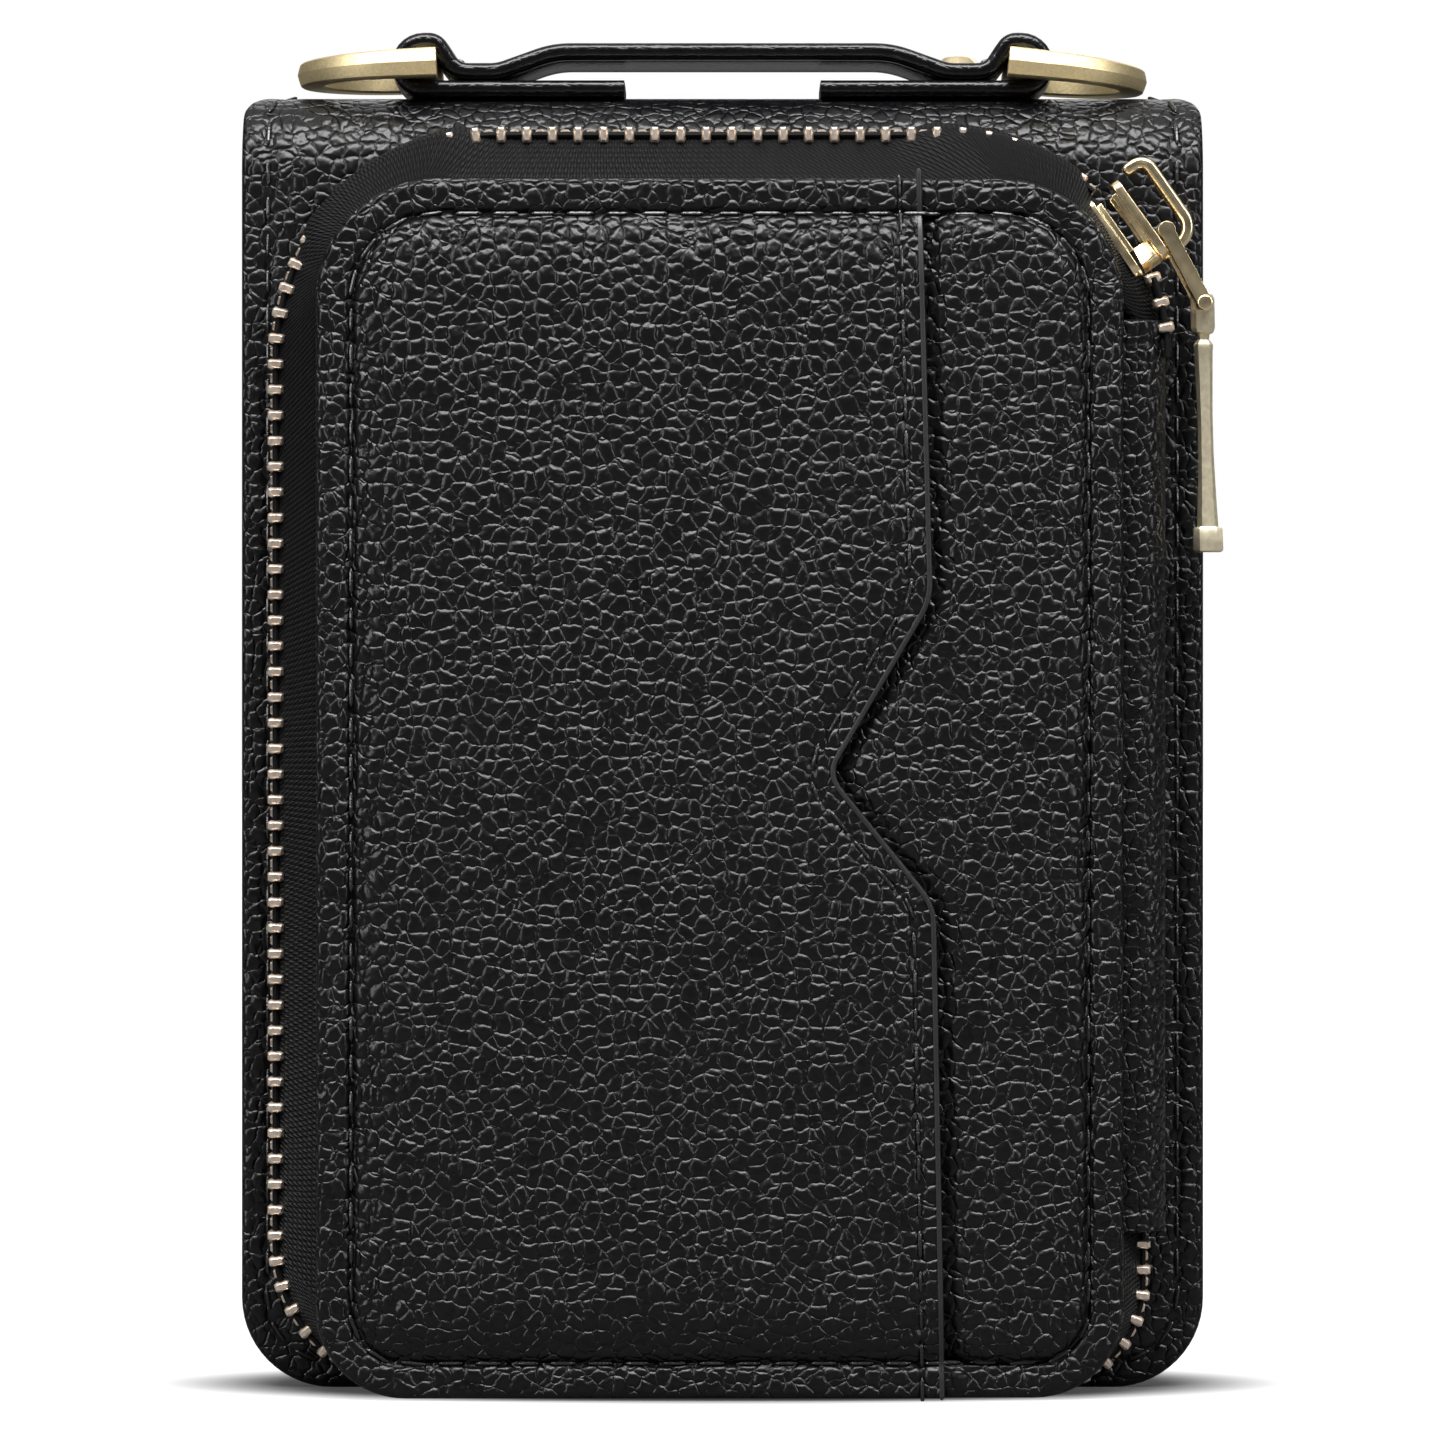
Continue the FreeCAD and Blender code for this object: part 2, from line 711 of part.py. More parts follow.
# ---- carry strap: tails on the spine, a loop round each ring's bar and the grip on top
def save_strap():
    half = strap_leather / 2
    loop = ring_bar_radius + ring_clearance + half
    tail = body_height + half
    crest = tail + 2 * loop
    dip = tail + strap_leather + strap_ply_gap
    grip = dip + strap_rise
    end = ring_offset + loop
    right = [(ring_offset - strap_tail_length, tail), (end, tail), (end, crest),
             (ring_offset - loop / 2, crest), (ring_offset - strap_dip_start, dip),
             (ring_offset - strap_dip_end, dip), (ring_offset - strap_grip_end, grip)]
    right_radii = [0, loop, loop, loop / 2, loop, 2 * loop, 4 * loop]
    left = [(-x, z) for x, z in right[::-1]]
    face = ribbon_face(right + left, right_radii + right_radii[::-1], strap_leather)
    strap = front_slab(face, middle_y - strap_width / 2, middle_y + strap_width / 2)
    save("handle_strap", strap.cut(rivet_solid()))


# ---- D-ring: a straight bar in the strap's loop, arms cut square beside it and a bevelled bow
def save_rings():
    half = ring_section / 2
    bow_radius = ring_half_depth - half
    bow_middle = ring_reach - half - bow_radius
    section = [(half, half - ring_bevel), (half - ring_bevel, half), (-half, half),
               (-half, -half), (half - ring_bevel, -half), (half, ring_bevel - half)]
    bar_z = body_height + ring_bar_radius + ring_clearance + strap_leather
    for name, side, droop in (("left", -1, ring_droop_left), ("right", 1, ring_droop_right)):
        wire = Part.makePolygon([Vector(0, bow_radius + a, b) for a, b in section + section[:1]])
        face = Part.Face(wire)
        bow = face.revolve(Vector(), Vector(0, 0, 1), -180)
        bow.translate(Vector(bow_middle, 0, 0))
        arm = face.extrude(Vector(bow_middle + ring_bar_radius, 0, 0))
        arm.translate(Vector(-ring_bar_radius, 0, 0))
        other_arm = arm.mirror(Vector(), Vector(0, 1, 0))
        reach = ring_half_depth - ring_section
        bar = Part.makeCylinder(ring_bar_radius, 2 * reach, Vector(0, -reach, 0), Vector(0, 1, 0))
        ring = bar.fuse([bow, arm, other_arm])
        if side < 0:
            ring = ring.mirror(Vector(), Vector(1, 0, 0))
        ring.rotate(Vector(), Vector(0, 1, 0), side * droop)
        ring.translate(Vector(side * ring_offset, middle_y, bar_z))
        save(f"d_ring_{name}", ring)


save_bifold()
save_inner_pockets()
save_tapes(zip_rows())
save_door()
save_strip()
save_slider()
save_puller()
save_strap()
save_rings()
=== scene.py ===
import bpy
import bmesh
import math
from mathutils import Matrix, Vector


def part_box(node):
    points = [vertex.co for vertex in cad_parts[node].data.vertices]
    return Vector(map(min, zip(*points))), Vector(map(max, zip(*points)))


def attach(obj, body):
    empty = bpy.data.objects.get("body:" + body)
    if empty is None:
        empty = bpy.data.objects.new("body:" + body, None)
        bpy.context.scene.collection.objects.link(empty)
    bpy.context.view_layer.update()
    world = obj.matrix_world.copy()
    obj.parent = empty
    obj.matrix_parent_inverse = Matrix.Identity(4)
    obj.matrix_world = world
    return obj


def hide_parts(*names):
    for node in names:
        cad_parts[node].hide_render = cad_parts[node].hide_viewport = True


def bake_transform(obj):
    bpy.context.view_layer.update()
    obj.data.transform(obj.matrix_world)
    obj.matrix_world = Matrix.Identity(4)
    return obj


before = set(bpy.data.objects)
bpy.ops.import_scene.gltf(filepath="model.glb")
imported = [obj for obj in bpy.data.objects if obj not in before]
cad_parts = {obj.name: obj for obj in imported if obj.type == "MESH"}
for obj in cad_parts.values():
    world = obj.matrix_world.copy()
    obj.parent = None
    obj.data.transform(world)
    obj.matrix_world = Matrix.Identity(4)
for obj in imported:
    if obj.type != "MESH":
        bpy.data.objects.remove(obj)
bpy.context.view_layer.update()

mm = 0.001
scene = bpy.context.scene


def boxOf(node):
    low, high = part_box(node)
    return Vector(low), Vector(high)


coverLow, coverHigh = boxOf("front_cover_leather")
backLow, backHigh = boxOf("back_cover_leather")
rimLow, rimHigh = boxOf("door_rim")
slipLow, slipHigh = boxOf("card_slip")
stripLow, stripHigh = boxOf("hinge_strip_front")
wallTop = boxOf("spine_leather")[1].z


# ---- node helpers
def addNode(tree, kind, inputs=(), **settings):
    # inputs pairs a socket's name or number with a value or with the socket that feeds it
    node = tree.nodes.new("ShaderNode" + kind)
    for key, value in settings.items():
        setattr(node, key, value)
    for key, value in dict(inputs).items():
        if isinstance(value, bpy.types.NodeSocket):
            tree.links.new(value, node.inputs[key])
        else:
            node.inputs[key].default_value = value
    return node


def mathNode(tree, operation, *values):
    return addNode(tree, "Math", enumerate(values), operation=operation).outputs[0]


def placeOf(tree, kind="Object"):
    return addNode(tree, "TexCoord").outputs[kind]


def smoothRange(tree, value, fromRange, toRange):
    keys = ("From Min", "From Max", "To Min", "To Max")
    inputs = dict(zip(keys, (*fromRange, *toRange)), Value=value)
    return addNode(tree, "MapRange", inputs, interpolation_type="SMOOTHSTEP").outputs["Result"]


def emptyTree(owner):
    owner.use_nodes = True
    owner.node_tree.nodes.clear()
    return owner.node_tree


def shades(colour, *shares):
    return [tuple(share * value for value in colour) for share in shares]


# ---- camera, lamps and stage
cameraSet = {"distance": 0.700, "height": 0.0665, "frameWidth": 0.1445, "sensor": 36.0,
             "clip": 0.05}


def makeCamera():
    data = bpy.data.cameras.new("camera")
    data.sensor_width = cameraSet["sensor"]
    data.lens = cameraSet["sensor"] * cameraSet["distance"] / cameraSet["frameWidth"]
    data.clip_start = cameraSet["clip"]
    camera = bpy.data.objects.new("camera", data)
    camera.location = (0, coverLow.y - cameraSet["distance"], cameraSet["height"])
    camera.rotation_euler = (math.radians(90), 0, 0)
    scene.collection.objects.link(camera)
    scene.camera = camera


lampSet = {
    "top": {"place": (0.0, -0.25, 0.50), "aim": (0, 0, 0.1), "size": (0.55, 0.20), "power": 6.4},
    "left": {"place": (-0.60, -0.46, 0.30), "aim": (0, 0, 0.06), "size": (0.14, 0.5), "power": 2.4},
    "right": {"place": (0.62, -0.40, 0.32), "aim": (0, 0, 0.06), "size": (0.12, 0.5), "power": 2.0},
    "back": {"place": (0.1, 0.6, 0.45), "aim": (0, 0, 0.06), "size": (0.6, 0.3), "power": 0.7},
}


def makeLamps():
    for name, lamp in lampSet.items():
        data = bpy.data.lights.new(name, "AREA")
        data.shape = "RECTANGLE"
        data.size, data.size_y = lamp["size"]
        data.energy = lamp["power"]
        thing = bpy.data.objects.new(name, data)
        thing.location = lamp["place"]
        aim = Vector(lamp["aim"]) - Vector(lamp["place"])
        thing.rotation_euler = aim.to_track_quat("-Z", "Y").to_euler()
        scene.collection.objects.link(thing)


stageSet = {
    "half": 6.0, "grey": 0.10,
    "paintedShadowFootprints": (0.9, 1.3),       # from the wallet, where the floor's painted shadow turns to plain white
    "lift": (0.05, 1.1),            # how brightly it is shown, near and far: dim near the wallet as a painted shadow
    "glossShare": 0.10,             # of the lift, shown in metal
    "sky": (0.25, 1.0),             # heights between which the sky brightens
    "skyLight": (0.06, 0.8),        # towards the sides and overhead
}
white = (1, 1, 1, 1)


def makeWorld():
    # white behind the wallet, and for its light a soft sky that is brightest overhead
    world = bpy.data.worlds.new("studio")
    tree = emptyTree(world)
    split = addNode(tree, "SeparateXYZ", {0: placeOf(tree, "Generated")})
    strength = smoothRange(tree, split.outputs["Z"], stageSet["sky"], stageSet["skyLight"])
    seen = addNode(tree, "Background", {"Color": white})
    light = addNode(tree, "Background", {"Color": white, "Strength": strength})
    camera = addNode(tree, "LightPath").outputs["Is Camera Ray"]
    mix = addNode(tree, "MixShader", {0: camera, 1: light.outputs[0], 2: seen.outputs[0]})
    addNode(tree, "OutputWorld", {0: mix.outputs[0]})
    scene.world = world


def makeFloor():
    # a dark floor for the wallet's light, shown white away from the wallet and dimmed close to it as a
    # painted shadow
    half = stageSet["half"]
    mesh = bpy.data.meshes.new("floor")
    corners = [(-half, -half, 0), (half, -half, 0), (half, half, 0), (-half, half, 0)]
    mesh.from_pydata(corners, [], [(0, 1, 2, 3)])
    floor = bpy.data.objects.new("floor", mesh)
    scene.collection.objects.link(floor)
    material = bpy.data.materials.new("floorWhite")
    tree = emptyTree(material)
    footprint = (1 / coverHigh.x, 1 / backHigh.y, 1)
    spot = addNode(tree, "Mapping", {"Vector": placeOf(tree), "Scale": footprint})
    away = addNode(tree, "VectorMath", {0: spot.outputs["Vector"]}, operation="LENGTH")
    # painted shadow: the floor glows less the nearer it lies to the wallet
    lift = smoothRange(tree, away.outputs["Value"], stageSet["paintedShadowFootprints"], stageSet["lift"])
    path = addNode(tree, "LightPath")
    gloss = mathNode(tree, "MULTIPLY", path.outputs["Is Glossy Ray"], stageSet["glossShare"])
    either = mathNode(tree, "MAXIMUM", path.outputs["Is Camera Ray"], gloss)
    glow = addNode(tree, "Emission", {"Strength": mathNode(tree, "MULTIPLY", lift, either)})
    diffuse = addNode(tree, "BsdfDiffuse", {"Color": (stageSet["grey"],) * 3 + (1,)})
    both = addNode(tree, "AddShader", {0: diffuse.outputs[0], 1: glow.outputs[0]})
    addNode(tree, "OutputMaterial", {0: both.outputs[0]})
    mesh.materials.append(material)


makeCamera()
makeLamps()
makeWorld()
makeFloor()
scene.view_settings.view_transform = "Standard"
print("camera, lamps and stage are set")


# ---- finishes
def newFinish(name, colour, roughness, metallic=0.0, specular=0.5):
    material = bpy.data.materials.new(name)
    material.use_nodes = True
    shader = material.node_tree.nodes["Principled BSDF"]
    shader.inputs["Base Color"].default_value = (*colour, 1)
    shader.inputs["Roughness"].default_value = roughness
    shader.inputs["Metallic"].default_value = metallic
    shader.inputs["Specular IOR Level"].default_value = specular
    return material, material.node_tree, shader


def noiseAt(tree, place, scale, detail, roughness=0.5):
    return addNode(tree, "TexNoise", {"Vector": place, "Scale": scale, "Detail": detail,
                                      "Roughness": roughness})


def rampNode(tree, source, stops):
    node = addNode(tree, "ValToRGB", {0: source})
    ramp = node.color_ramp
    while len(ramp.elements) < len(stops):
        ramp.elements.new(0.5)
    for element, (place, value) in zip(ramp.elements, stops):
        element.position = place
        element.color = (*value, 1) if isinstance(value, tuple) else (value, value, value, 1)
    return node.outputs[0]


def addBump(tree, shader, height, strength, distance):
    bump = addNode(tree, "Bump", {"Height": height, "Strength": strength, "Distance": distance})
    tree.links.new(bump.outputs[0], shader.inputs["Normal"])


def unevenRoughness(tree, shader, noise, swing, roughness):
    # the roughness swings evenly about its mean
    rough = mathNode(tree, "MULTIPLY_ADD", noise, swing, roughness - swing / 2)
    tree.links.new(rough, shader.inputs["Roughness"])


grainSet = {
    "colour": (0.0024, 0.0024, 0.0029), "specular": 0.29,
    "sways": ((0.35, 1.1), (1.3, 0.5)),    # a slow and a quick one, as shares of the pebble
    "random": 0.85,
    # the shoulder of each pebble is round, steepest where it meets the crease
    "shoulder": [(0.0, 0.0), (0.03, 0.16), (0.08, 0.4), (0.15, 0.64), (0.24, 0.83), (0.34, 0.95),
                 (0.45, 1.0)],
    "depths": (0.8, 1.5, 0.15),            # frequency, swing and least share of the crease's depth
    "dome": -0.8,
    "fine": (7.0, 0.03),                   # frequency and height of the pores
    "patches": (60.0, 0.10),
    # share of the colour left in the creases, a painted shade
    "paintedCreaseShade": 0.4,
}


def pebbledLeather(name, pebble, depth, roughness=0.29):
    # raised round pebbles of uneven size with thin creases between them, the creases coloured darker as
    # painted shade
    colour = grainSet["colour"]
    material, tree, shader = newFinish(name, colour, roughness, specular=grainSet["specular"])
    place = placeOf(tree)
    bent = place
    for frequency, reach in grainSet["sways"]:
        sway = noiseAt(tree, place, frequency / pebble, 1.0).outputs["Color"]
        scaled = addNode(tree, "VectorMath", {0: sway, "Scale": pebble * reach}, operation="SCALE")
        bent = addNode(tree, "VectorMath", {0: bent, 1: scaled.outputs[0]}, operation="ADD").outputs[0]
    cell = {"Vector": bent, "Scale": 1 / pebble, "Randomness": grainSet["random"]}
    border = addNode(tree, "TexVoronoi", cell, feature="DISTANCE_TO_EDGE").outputs["Distance"]
    middle = addNode(tree, "TexVoronoi", cell, feature="F1").outputs["Distance"]
    crease = rampNode(tree, border, grainSet["shoulder"])
    frequency, swing, least = grainSet["depths"]
    depths = noiseAt(tree, place, frequency / pebble, 1.0).outputs["Fac"]
    uneven = mathNode(tree, "MULTIPLY_ADD", depths, swing, least)
    dome = mathNode(tree, "MULTIPLY", mathNode(tree, "MULTIPLY", middle, middle), grainSet["dome"])
    height = mathNode(tree, "MULTIPLY_ADD", crease, uneven, dome)
    frequency, pores = grainSet["fine"]
    fine = noiseAt(tree, place, frequency / pebble, 3.0, 0.6).outputs["Fac"]
    height = mathNode(tree, "ADD", height, mathNode(tree, "MULTIPLY", fine, pores))
    addBump(tree, shader, height, 1.0, depth)
    frequency, swing = grainSet["patches"]
    unevenRoughness(tree, shader, noiseAt(tree, place, frequency, 2.0).outputs["Fac"], swing, roughness)
    # painted shade: the creases are coloured darker than the pebbles
    paintedShadeColour = shades(colour, grainSet["paintedCreaseShade"])[0]
    paintedCreaseTint = rampNode(tree, crease, [(0.0, paintedShadeColour), (0.5, colour), (1.0, colour)])
    tree.links.new(paintedCreaseTint, shader.inputs["Base Color"])
    return material


def smoothLeather(name, colour, roughness, scale, depth):
    material, tree, shader = newFinish(name, colour, roughness)
    place = placeOf(tree)
    cells = addNode(tree, "TexVoronoi", {"Vector": place, "Scale": scale}, feature="DISTANCE_TO_EDGE")
    noise = noiseAt(tree, place, scale / 6, 4.0).outputs["Fac"]
    addBump(tree, shader, mathNode(tree, "ADD", cells.outputs["Distance"], noise), 0.6, depth)
    unevenRoughness(tree, shader, noise, 0.2, roughness)
    return material


def phaseOf(tree, source, thread):
    return mathNode(tree, "MULTIPLY", source, math.pi / thread)


def ridges(tree, phase):
    # threads side by side, one for each half wave
    return mathNode(tree, "ABSOLUTE", mathNode(tree, "SINE", phase))


def wovenCloth(name, colour, thread, depth, roughness=0.75):
    # two sets of threads crossing, read from the piece's own UV in metres, with painted shade in the hollows
    # and a painted highlight on the crests
    material, tree, shader = newFinish(name, colour, roughness, specular=0.16)
    split = addNode(tree, "SeparateXYZ", {0: placeOf(tree, "UV")})
    across, along = (phaseOf(tree, split.outputs[axis], thread) for axis in "XY")
    slant = mathNode(tree, "ADD", across, along)
    height = mathNode(tree, "MULTIPLY", ridges(tree, slant), ridges(tree, across))
    addBump(tree, shader, height, 1.0, depth)
    # painted shade and painted highlight: darker where the threads sink, lighter where they rise
    paintedShadeColour, light = shades(colour, 0.3, 3.0)
    tree.links.new(rampNode(tree, height, [(0.0, paintedShadeColour), (1.0, light)]), shader.inputs["Base Color"])
    return material


def twistedThread(name, colour, roughness):
    # a waxed thread with its fibres broken up, so that it glints unevenly
    material, tree, shader = newFinish(name, colour, roughness)
    addBump(tree, shader, noiseAt(tree, placeOf(tree), 2600.0, 2.0).outputs["Fac"], 0.8, 0.06 * mm)
    return material


def clothByPlace(name, colour, thread, depth):
    # a fine weave on object coordinates, for flat linings, with a painted highlight on its thread crests
    material, tree, shader = newFinish(name, colour, 0.8)
    split = addNode(tree, "SeparateXYZ", {0: placeOf(tree)})
    across, along = (ridges(tree, phaseOf(tree, split.outputs[axis], thread)) for axis in "XZ")
    height = mathNode(tree, "MULTIPLY", across, along)
    addBump(tree, shader, height, 1.0, depth)
    # painted highlight: the colour brightens where the threads rise
    stops = [(0.0, colour), (1.0, shades(colour, 2.2)[0])]
    tree.links.new(rampNode(tree, height, stops), shader.inputs["Base Color"])
    return material


def metalFinish(name, colour, roughness, brush, depth):
    material, tree, shader = newFinish(name, colour, roughness, metallic=1.0)
    noise = noiseAt(tree, placeOf(tree), brush, 3.0).outputs["Fac"]
    addBump(tree, shader, noise, 0.35, depth)
    unevenRoughness(tree, shader, noise, 0.12, roughness)
    stops = [(0.3, shades(colour, 0.82)[0]), (0.7, colour)]
    tree.links.new(rampNode(tree, noise, stops), shader.inputs["Base Color"])
    return material


finish = {
    "cover": pebbledLeather("pebbledCover", 1.35 * mm, 0.13 * mm),
    "door": pebbledLeather("pebbledDoor", 1.4 * mm, 0.16 * mm),
    "strap": pebbledLeather("pebbledStrap", 0.9 * mm, 0.018 * mm, roughness=0.18),
    "edgePaint": smoothLeather("edgePaint", (0.011, 0.011, 0.012), 0.42, 900, 0.03 * mm),
    "inner": smoothLeather("innerLeather", (0.009, 0.009, 0.010), 0.5, 1400, 0.05 * mm),
    "thread": twistedThread("waxedThread", (0.008, 0.008, 0.009), 0.22),
    "tape": wovenCloth("zipTape", (0.0022, 0.0022, 0.0025), 0.50 * mm, 0.20 * mm, 0.55),
    "lining": clothByPlace("liningCloth", (0.010, 0.010, 0.011), 0.35 * mm, 0.05 * mm),
    "board": smoothLeather("boardStock", (0.3, 0.25, 0.18), 0.8, 2200, 0.02 * mm),
    "strip": pebbledLeather("pebbledStrip", 1.2 * mm, 0.12 * mm),
    "cord": wovenCloth("zipCord", (0.0025, 0.0025, 0.003), 0.4 * mm, 0.1 * mm),
    "teeth": metalFinish("roseGoldTeeth", (1.0, 0.84, 0.70), 0.36, 3000, 0.01 * mm),
    "gold": metalFinish("polishedGold", (0.97, 0.80, 0.50), 0.24, 900, 0.012 * mm),
    "paleGold": metalFinish("paleGold", (0.96, 0.86, 0.62), 0.42, 1800, 0.008 * mm),
    "satinGold": metalFinish("satinBrass", (0.80, 0.66, 0.38), 0.46, 4200, 0.05 * mm),
}
print("finishes are made")


# ---- mesh helpers
def rectangle(left, right, low, high):
    return [(left, low), (right, low), (right, high), (left, high)]


def roundedOutline(corners, radii, inset=0.0, arcSteps=14):
    # anticlockwise outline moved inwards, with every corner turned into an arc
    points = []
    count = len(corners)
    for index, radius in enumerate(radii):
        corner = Vector(corners[index])
        before = (corner - Vector(corners[index - 1])).normalized()
        after = (Vector(corners[(index + 1) % count]) - corner).normalized()
        leftBefore = Vector((-before.y, before.x))
        leftAfter = Vector((-after.y, after.x))
        moved = corner + (leftBefore + leftAfter) * (inset / (1 + leftBefore.dot(leftAfter)))
        size = max(radius - inset, 0.0)
        turn = math.acos(max(-1.0, min(1.0, before.dot(after))))
        start = moved - before * (size * math.tan(turn / 2))
        centre = start + leftBefore * size
        first = math.atan2(-leftBefore.y, -leftBefore.x)
        for step in range(arcSteps + 1):
            angle = first + turn * step / arcSteps
            points.append((centre.x + size * math.cos(angle), centre.y + size * math.sin(angle)))
    return points


def roundedPath(corners, radii, step=0.5 * mm):
    # points and directions along an open line whose inner corners are arcs
    points = []
    leave = Vector(corners[0])
    for index in range(1, len(corners)):
        corner = Vector(corners[index])
        before = (corner - Vector(corners[index - 1])).normalized()
        arrive = corner
        turn = 0.0
        if index < len(corners) - 1:
            after = (Vector(corners[index + 1]) - corner).normalized()
            turn = before.angle_signed(after) if before.dot(after) < 1 - 1e-9 else 0.0
            arrive = corner - before * (radii[index] * math.tan(abs(turn) / 2))
        run = (arrive - leave).length
        count = max(int(run / step), 1)
        points += [(leave.lerp(arrive, part / count), before) for part in range(count)]
        leave = arrive
        if abs(turn) > 1e-9:
            radius = radii[index]
            side = -1 if turn > 0 else 1
            centre = arrive + Vector((-before.y, before.x)) * (radius * side)
            count = max(int(radius * abs(turn) / step), 6)
            for part in range(count):
                spin = Matrix.Rotation(-turn * part / count, 2)
                points.append((centre + spin @ (arrive - centre), spin @ before))
            spin = Matrix.Rotation(-turn, 2)
            leave = centre + spin @ (arrive - centre)
    last = (Vector(corners[-1]) - Vector(corners[-2])).normalized()
    points.append((Vector(corners[-1]), last))
    return points


def sweepSection(name, section, stations, material):
    # section holds (across, outward) pairs, and a station (origin, acrossWay, outwardWay)
    loops = [[origin + acrossWay * across + outwardWay * out for across, out in section]
             for origin, acrossWay, outwardWay in stations]
    return stackLoops(name, loops, material)


def insideDistance(x, z, box, radii):
    # how far a place is inside a rounded rectangle
    left, right, low, high = box
    nearest = min(x - left, right - x, z - low, high - z)
    corners = ((left, low, 1, 1), (right, low, -1, 1), (right, high, -1, -1), (left, high, 1, -1))
    for (cornerX, cornerZ, wayX, wayZ), radius in zip(corners, radii):
        acrossX = radius - (x - cornerX) * wayX
        acrossZ = radius - (z - cornerZ) * wayZ
        if acrossX > 0 and acrossZ > 0:
            nearest = min(nearest, radius - math.hypot(acrossX, acrossZ))
    return max(nearest, 0.0)


def borderAt(z, box, radii, side):
    # x of the outline's left or right border at a height
    left, right, low, high = box
    lowRadius, highRadius = (radii[0], radii[3]) if side == "left" else (radii[1], radii[2])
    back = 0.0
    if z < low + lowRadius:
        back = lowRadius - math.sqrt(max(lowRadius ** 2 - (low + lowRadius - z) ** 2, 0))
    if z > high - highRadius:
        back = highRadius - math.sqrt(max(highRadius ** 2 - (z - high + highRadius) ** 2, 0))
    return left + back if side == "left" else right - back


smoothUpTo = math.radians(42)


def linked(name, mesh):
    piece = bpy.data.objects.new(name, mesh)
    scene.collection.objects.link(piece)
    return piece


def meshPiece(name, points, faces, material, turned=True):
    mesh = bpy.data.meshes.new(name)
    mesh.from_pydata([tuple(point) for point in points], [], faces)
    mesh.materials.append(material)
    if turned:
        work = bmesh.new()
        work.from_mesh(mesh)
        bmesh.ops.remove_doubles(work, verts=work.verts, dist=1e-7)
        bmesh.ops.recalc_face_normals(work, faces=work.faces)
        work.to_mesh(mesh)
        work.free()
    mesh.shade_smooth()
    mesh.set_sharp_from_angle(angle=smoothUpTo)
    return linked(name, mesh)


def stackLoops(name, loops, material, closed=True):
    # skins a row of loops with equal counts and closes both ends
    count = len(loops[0])
    points = [point for loop in loops for point in loop]
    faces = []
    for row in range(len(loops) - 1):
        for step in range(count):
            after = (step + 1) % count
            here = row * count
            faces.append((here + step, here + after, here + count + after, here + count + step))
    if closed:
        last = (len(loops) - 1) * count
        faces.append(tuple(reversed(range(count))))
        faces.append(tuple(range(last, last + count)))
    return meshPiece(name, points, faces, material)


def gridShell(name, front, back, material, uv=None):
    # a closed sheet from two grids of points, front[row][column] and back[row][column]
    rows, columns = len(front), len(front[0])
    points = [point for grid in (front, back) for row in grid for point in row]
    size = rows * columns
    faces = []
    for row in range(rows - 1):
        for column in range(columns - 1):
            here = row * columns + column
            quad = (here, here + 1, here + columns + 1, here + columns)
            faces.append(quad)
            faces.append(tuple(size + index for index in reversed(quad)))
    border = [(0, column) for column in range(columns)]
    border += [(row, columns - 1) for row in range(1, rows)]
    border += [(rows - 1, column) for column in range(columns - 2, -1, -1)]
    border += [(row, 0) for row in range(rows - 2, 0, -1)]
    ring = [row * columns + column for row, column in border]
    for step, here in enumerate(ring):
        after = ring[(step + 1) % len(ring)]
        faces.append((after, here, size + here, size + after))
    piece = meshPiece(name, points, faces, material, turned=False)
    work = bmesh.new()
    work.from_mesh(piece.data)
    if uv:
        layer = work.loops.layers.uv.new("cloth")
        work.verts.ensure_lookup_table()
        flat = [place for row in uv for place in row]
        for face in work.faces:
            for loop in face.loops:
                loop[layer].uv = flat[loop.vert.index % size]
    bmesh.ops.recalc_face_normals(work, faces=work.faces)
    work.to_mesh(piece.data)
    work.free()
    return piece


def spread(start, end, ends, step):
    # distances from start to end, closer together at the given distances from both ends
    near = [start + gap for gap in ends]
    far = [end - gap for gap in reversed(ends)]
    count = max(int((far[0] - near[-1]) / step), 1)
    middle = [near[-1] + (far[0] - near[-1]) * index / count for index in range(1, count)]
    return near + middle + far


def follow(table, value):
    # straight line between the rows of a table of pairs
    if value <= table[0][0]:
        return table[0][1]
    for (low, first), (high, second) in zip(table, table[1:]):
        if value <= high:
            return first + (second - first) * (value - low) / (high - low)
    return table[-1][1]


# ---- what repeats along a path: stitches and zip teeth
pathSet = {
    "inputs": (("Geometry", "Geometry"), ("Pitch", "Float"), ("Template", "Object"), ("Finish", "Material"),
               ("Uneven", "Float")),
    "nodes": {
        "given": "NodeGroupInput", "out": "NodeGroupOutput", "curve": "GeometryNodeMeshToCurve",
        "even": "GeometryNodeResampleCurve", "tangent": "GeometryNodeInputTangent",
        "turn": "FunctionNodeAlignRotationToVector", "template": "GeometryNodeObjectInfo",
        "place": "GeometryNodeInstanceOnPoints", "chance": "FunctionNodeRandomValue",
        "smallest": "ShaderNodeMath", "real": "GeometryNodeRealizeInstances",
        "paint": "GeometryNodeSetMaterial",
    },
    "links": (
        ("given", "Geometry", "curve", "Mesh"), ("curve", "Curve", "even", "Curve"),
        ("given", "Pitch", "even", "Length"), ("even", "Curve", "place", "Points"),
        ("tangent", "Tangent", "turn", "Vector"), ("turn", "Rotation", "place", "Rotation"),
        ("given", "Template", "template", "Object"), ("template", "Geometry", "place", "Instance"),
        ("given", "Uneven", "smallest", 1), ("smallest", 0, "chance", "Min"), ("chance", 1, "place", "Scale"),
        ("place", "Instances", "real", "Geometry"), ("real", "Geometry", "paint", "Geometry"),
        ("given", "Finish", "paint", "Material"), ("paint", "Geometry", "out", "Geometry"),
    ),
    "seed": 7,
}


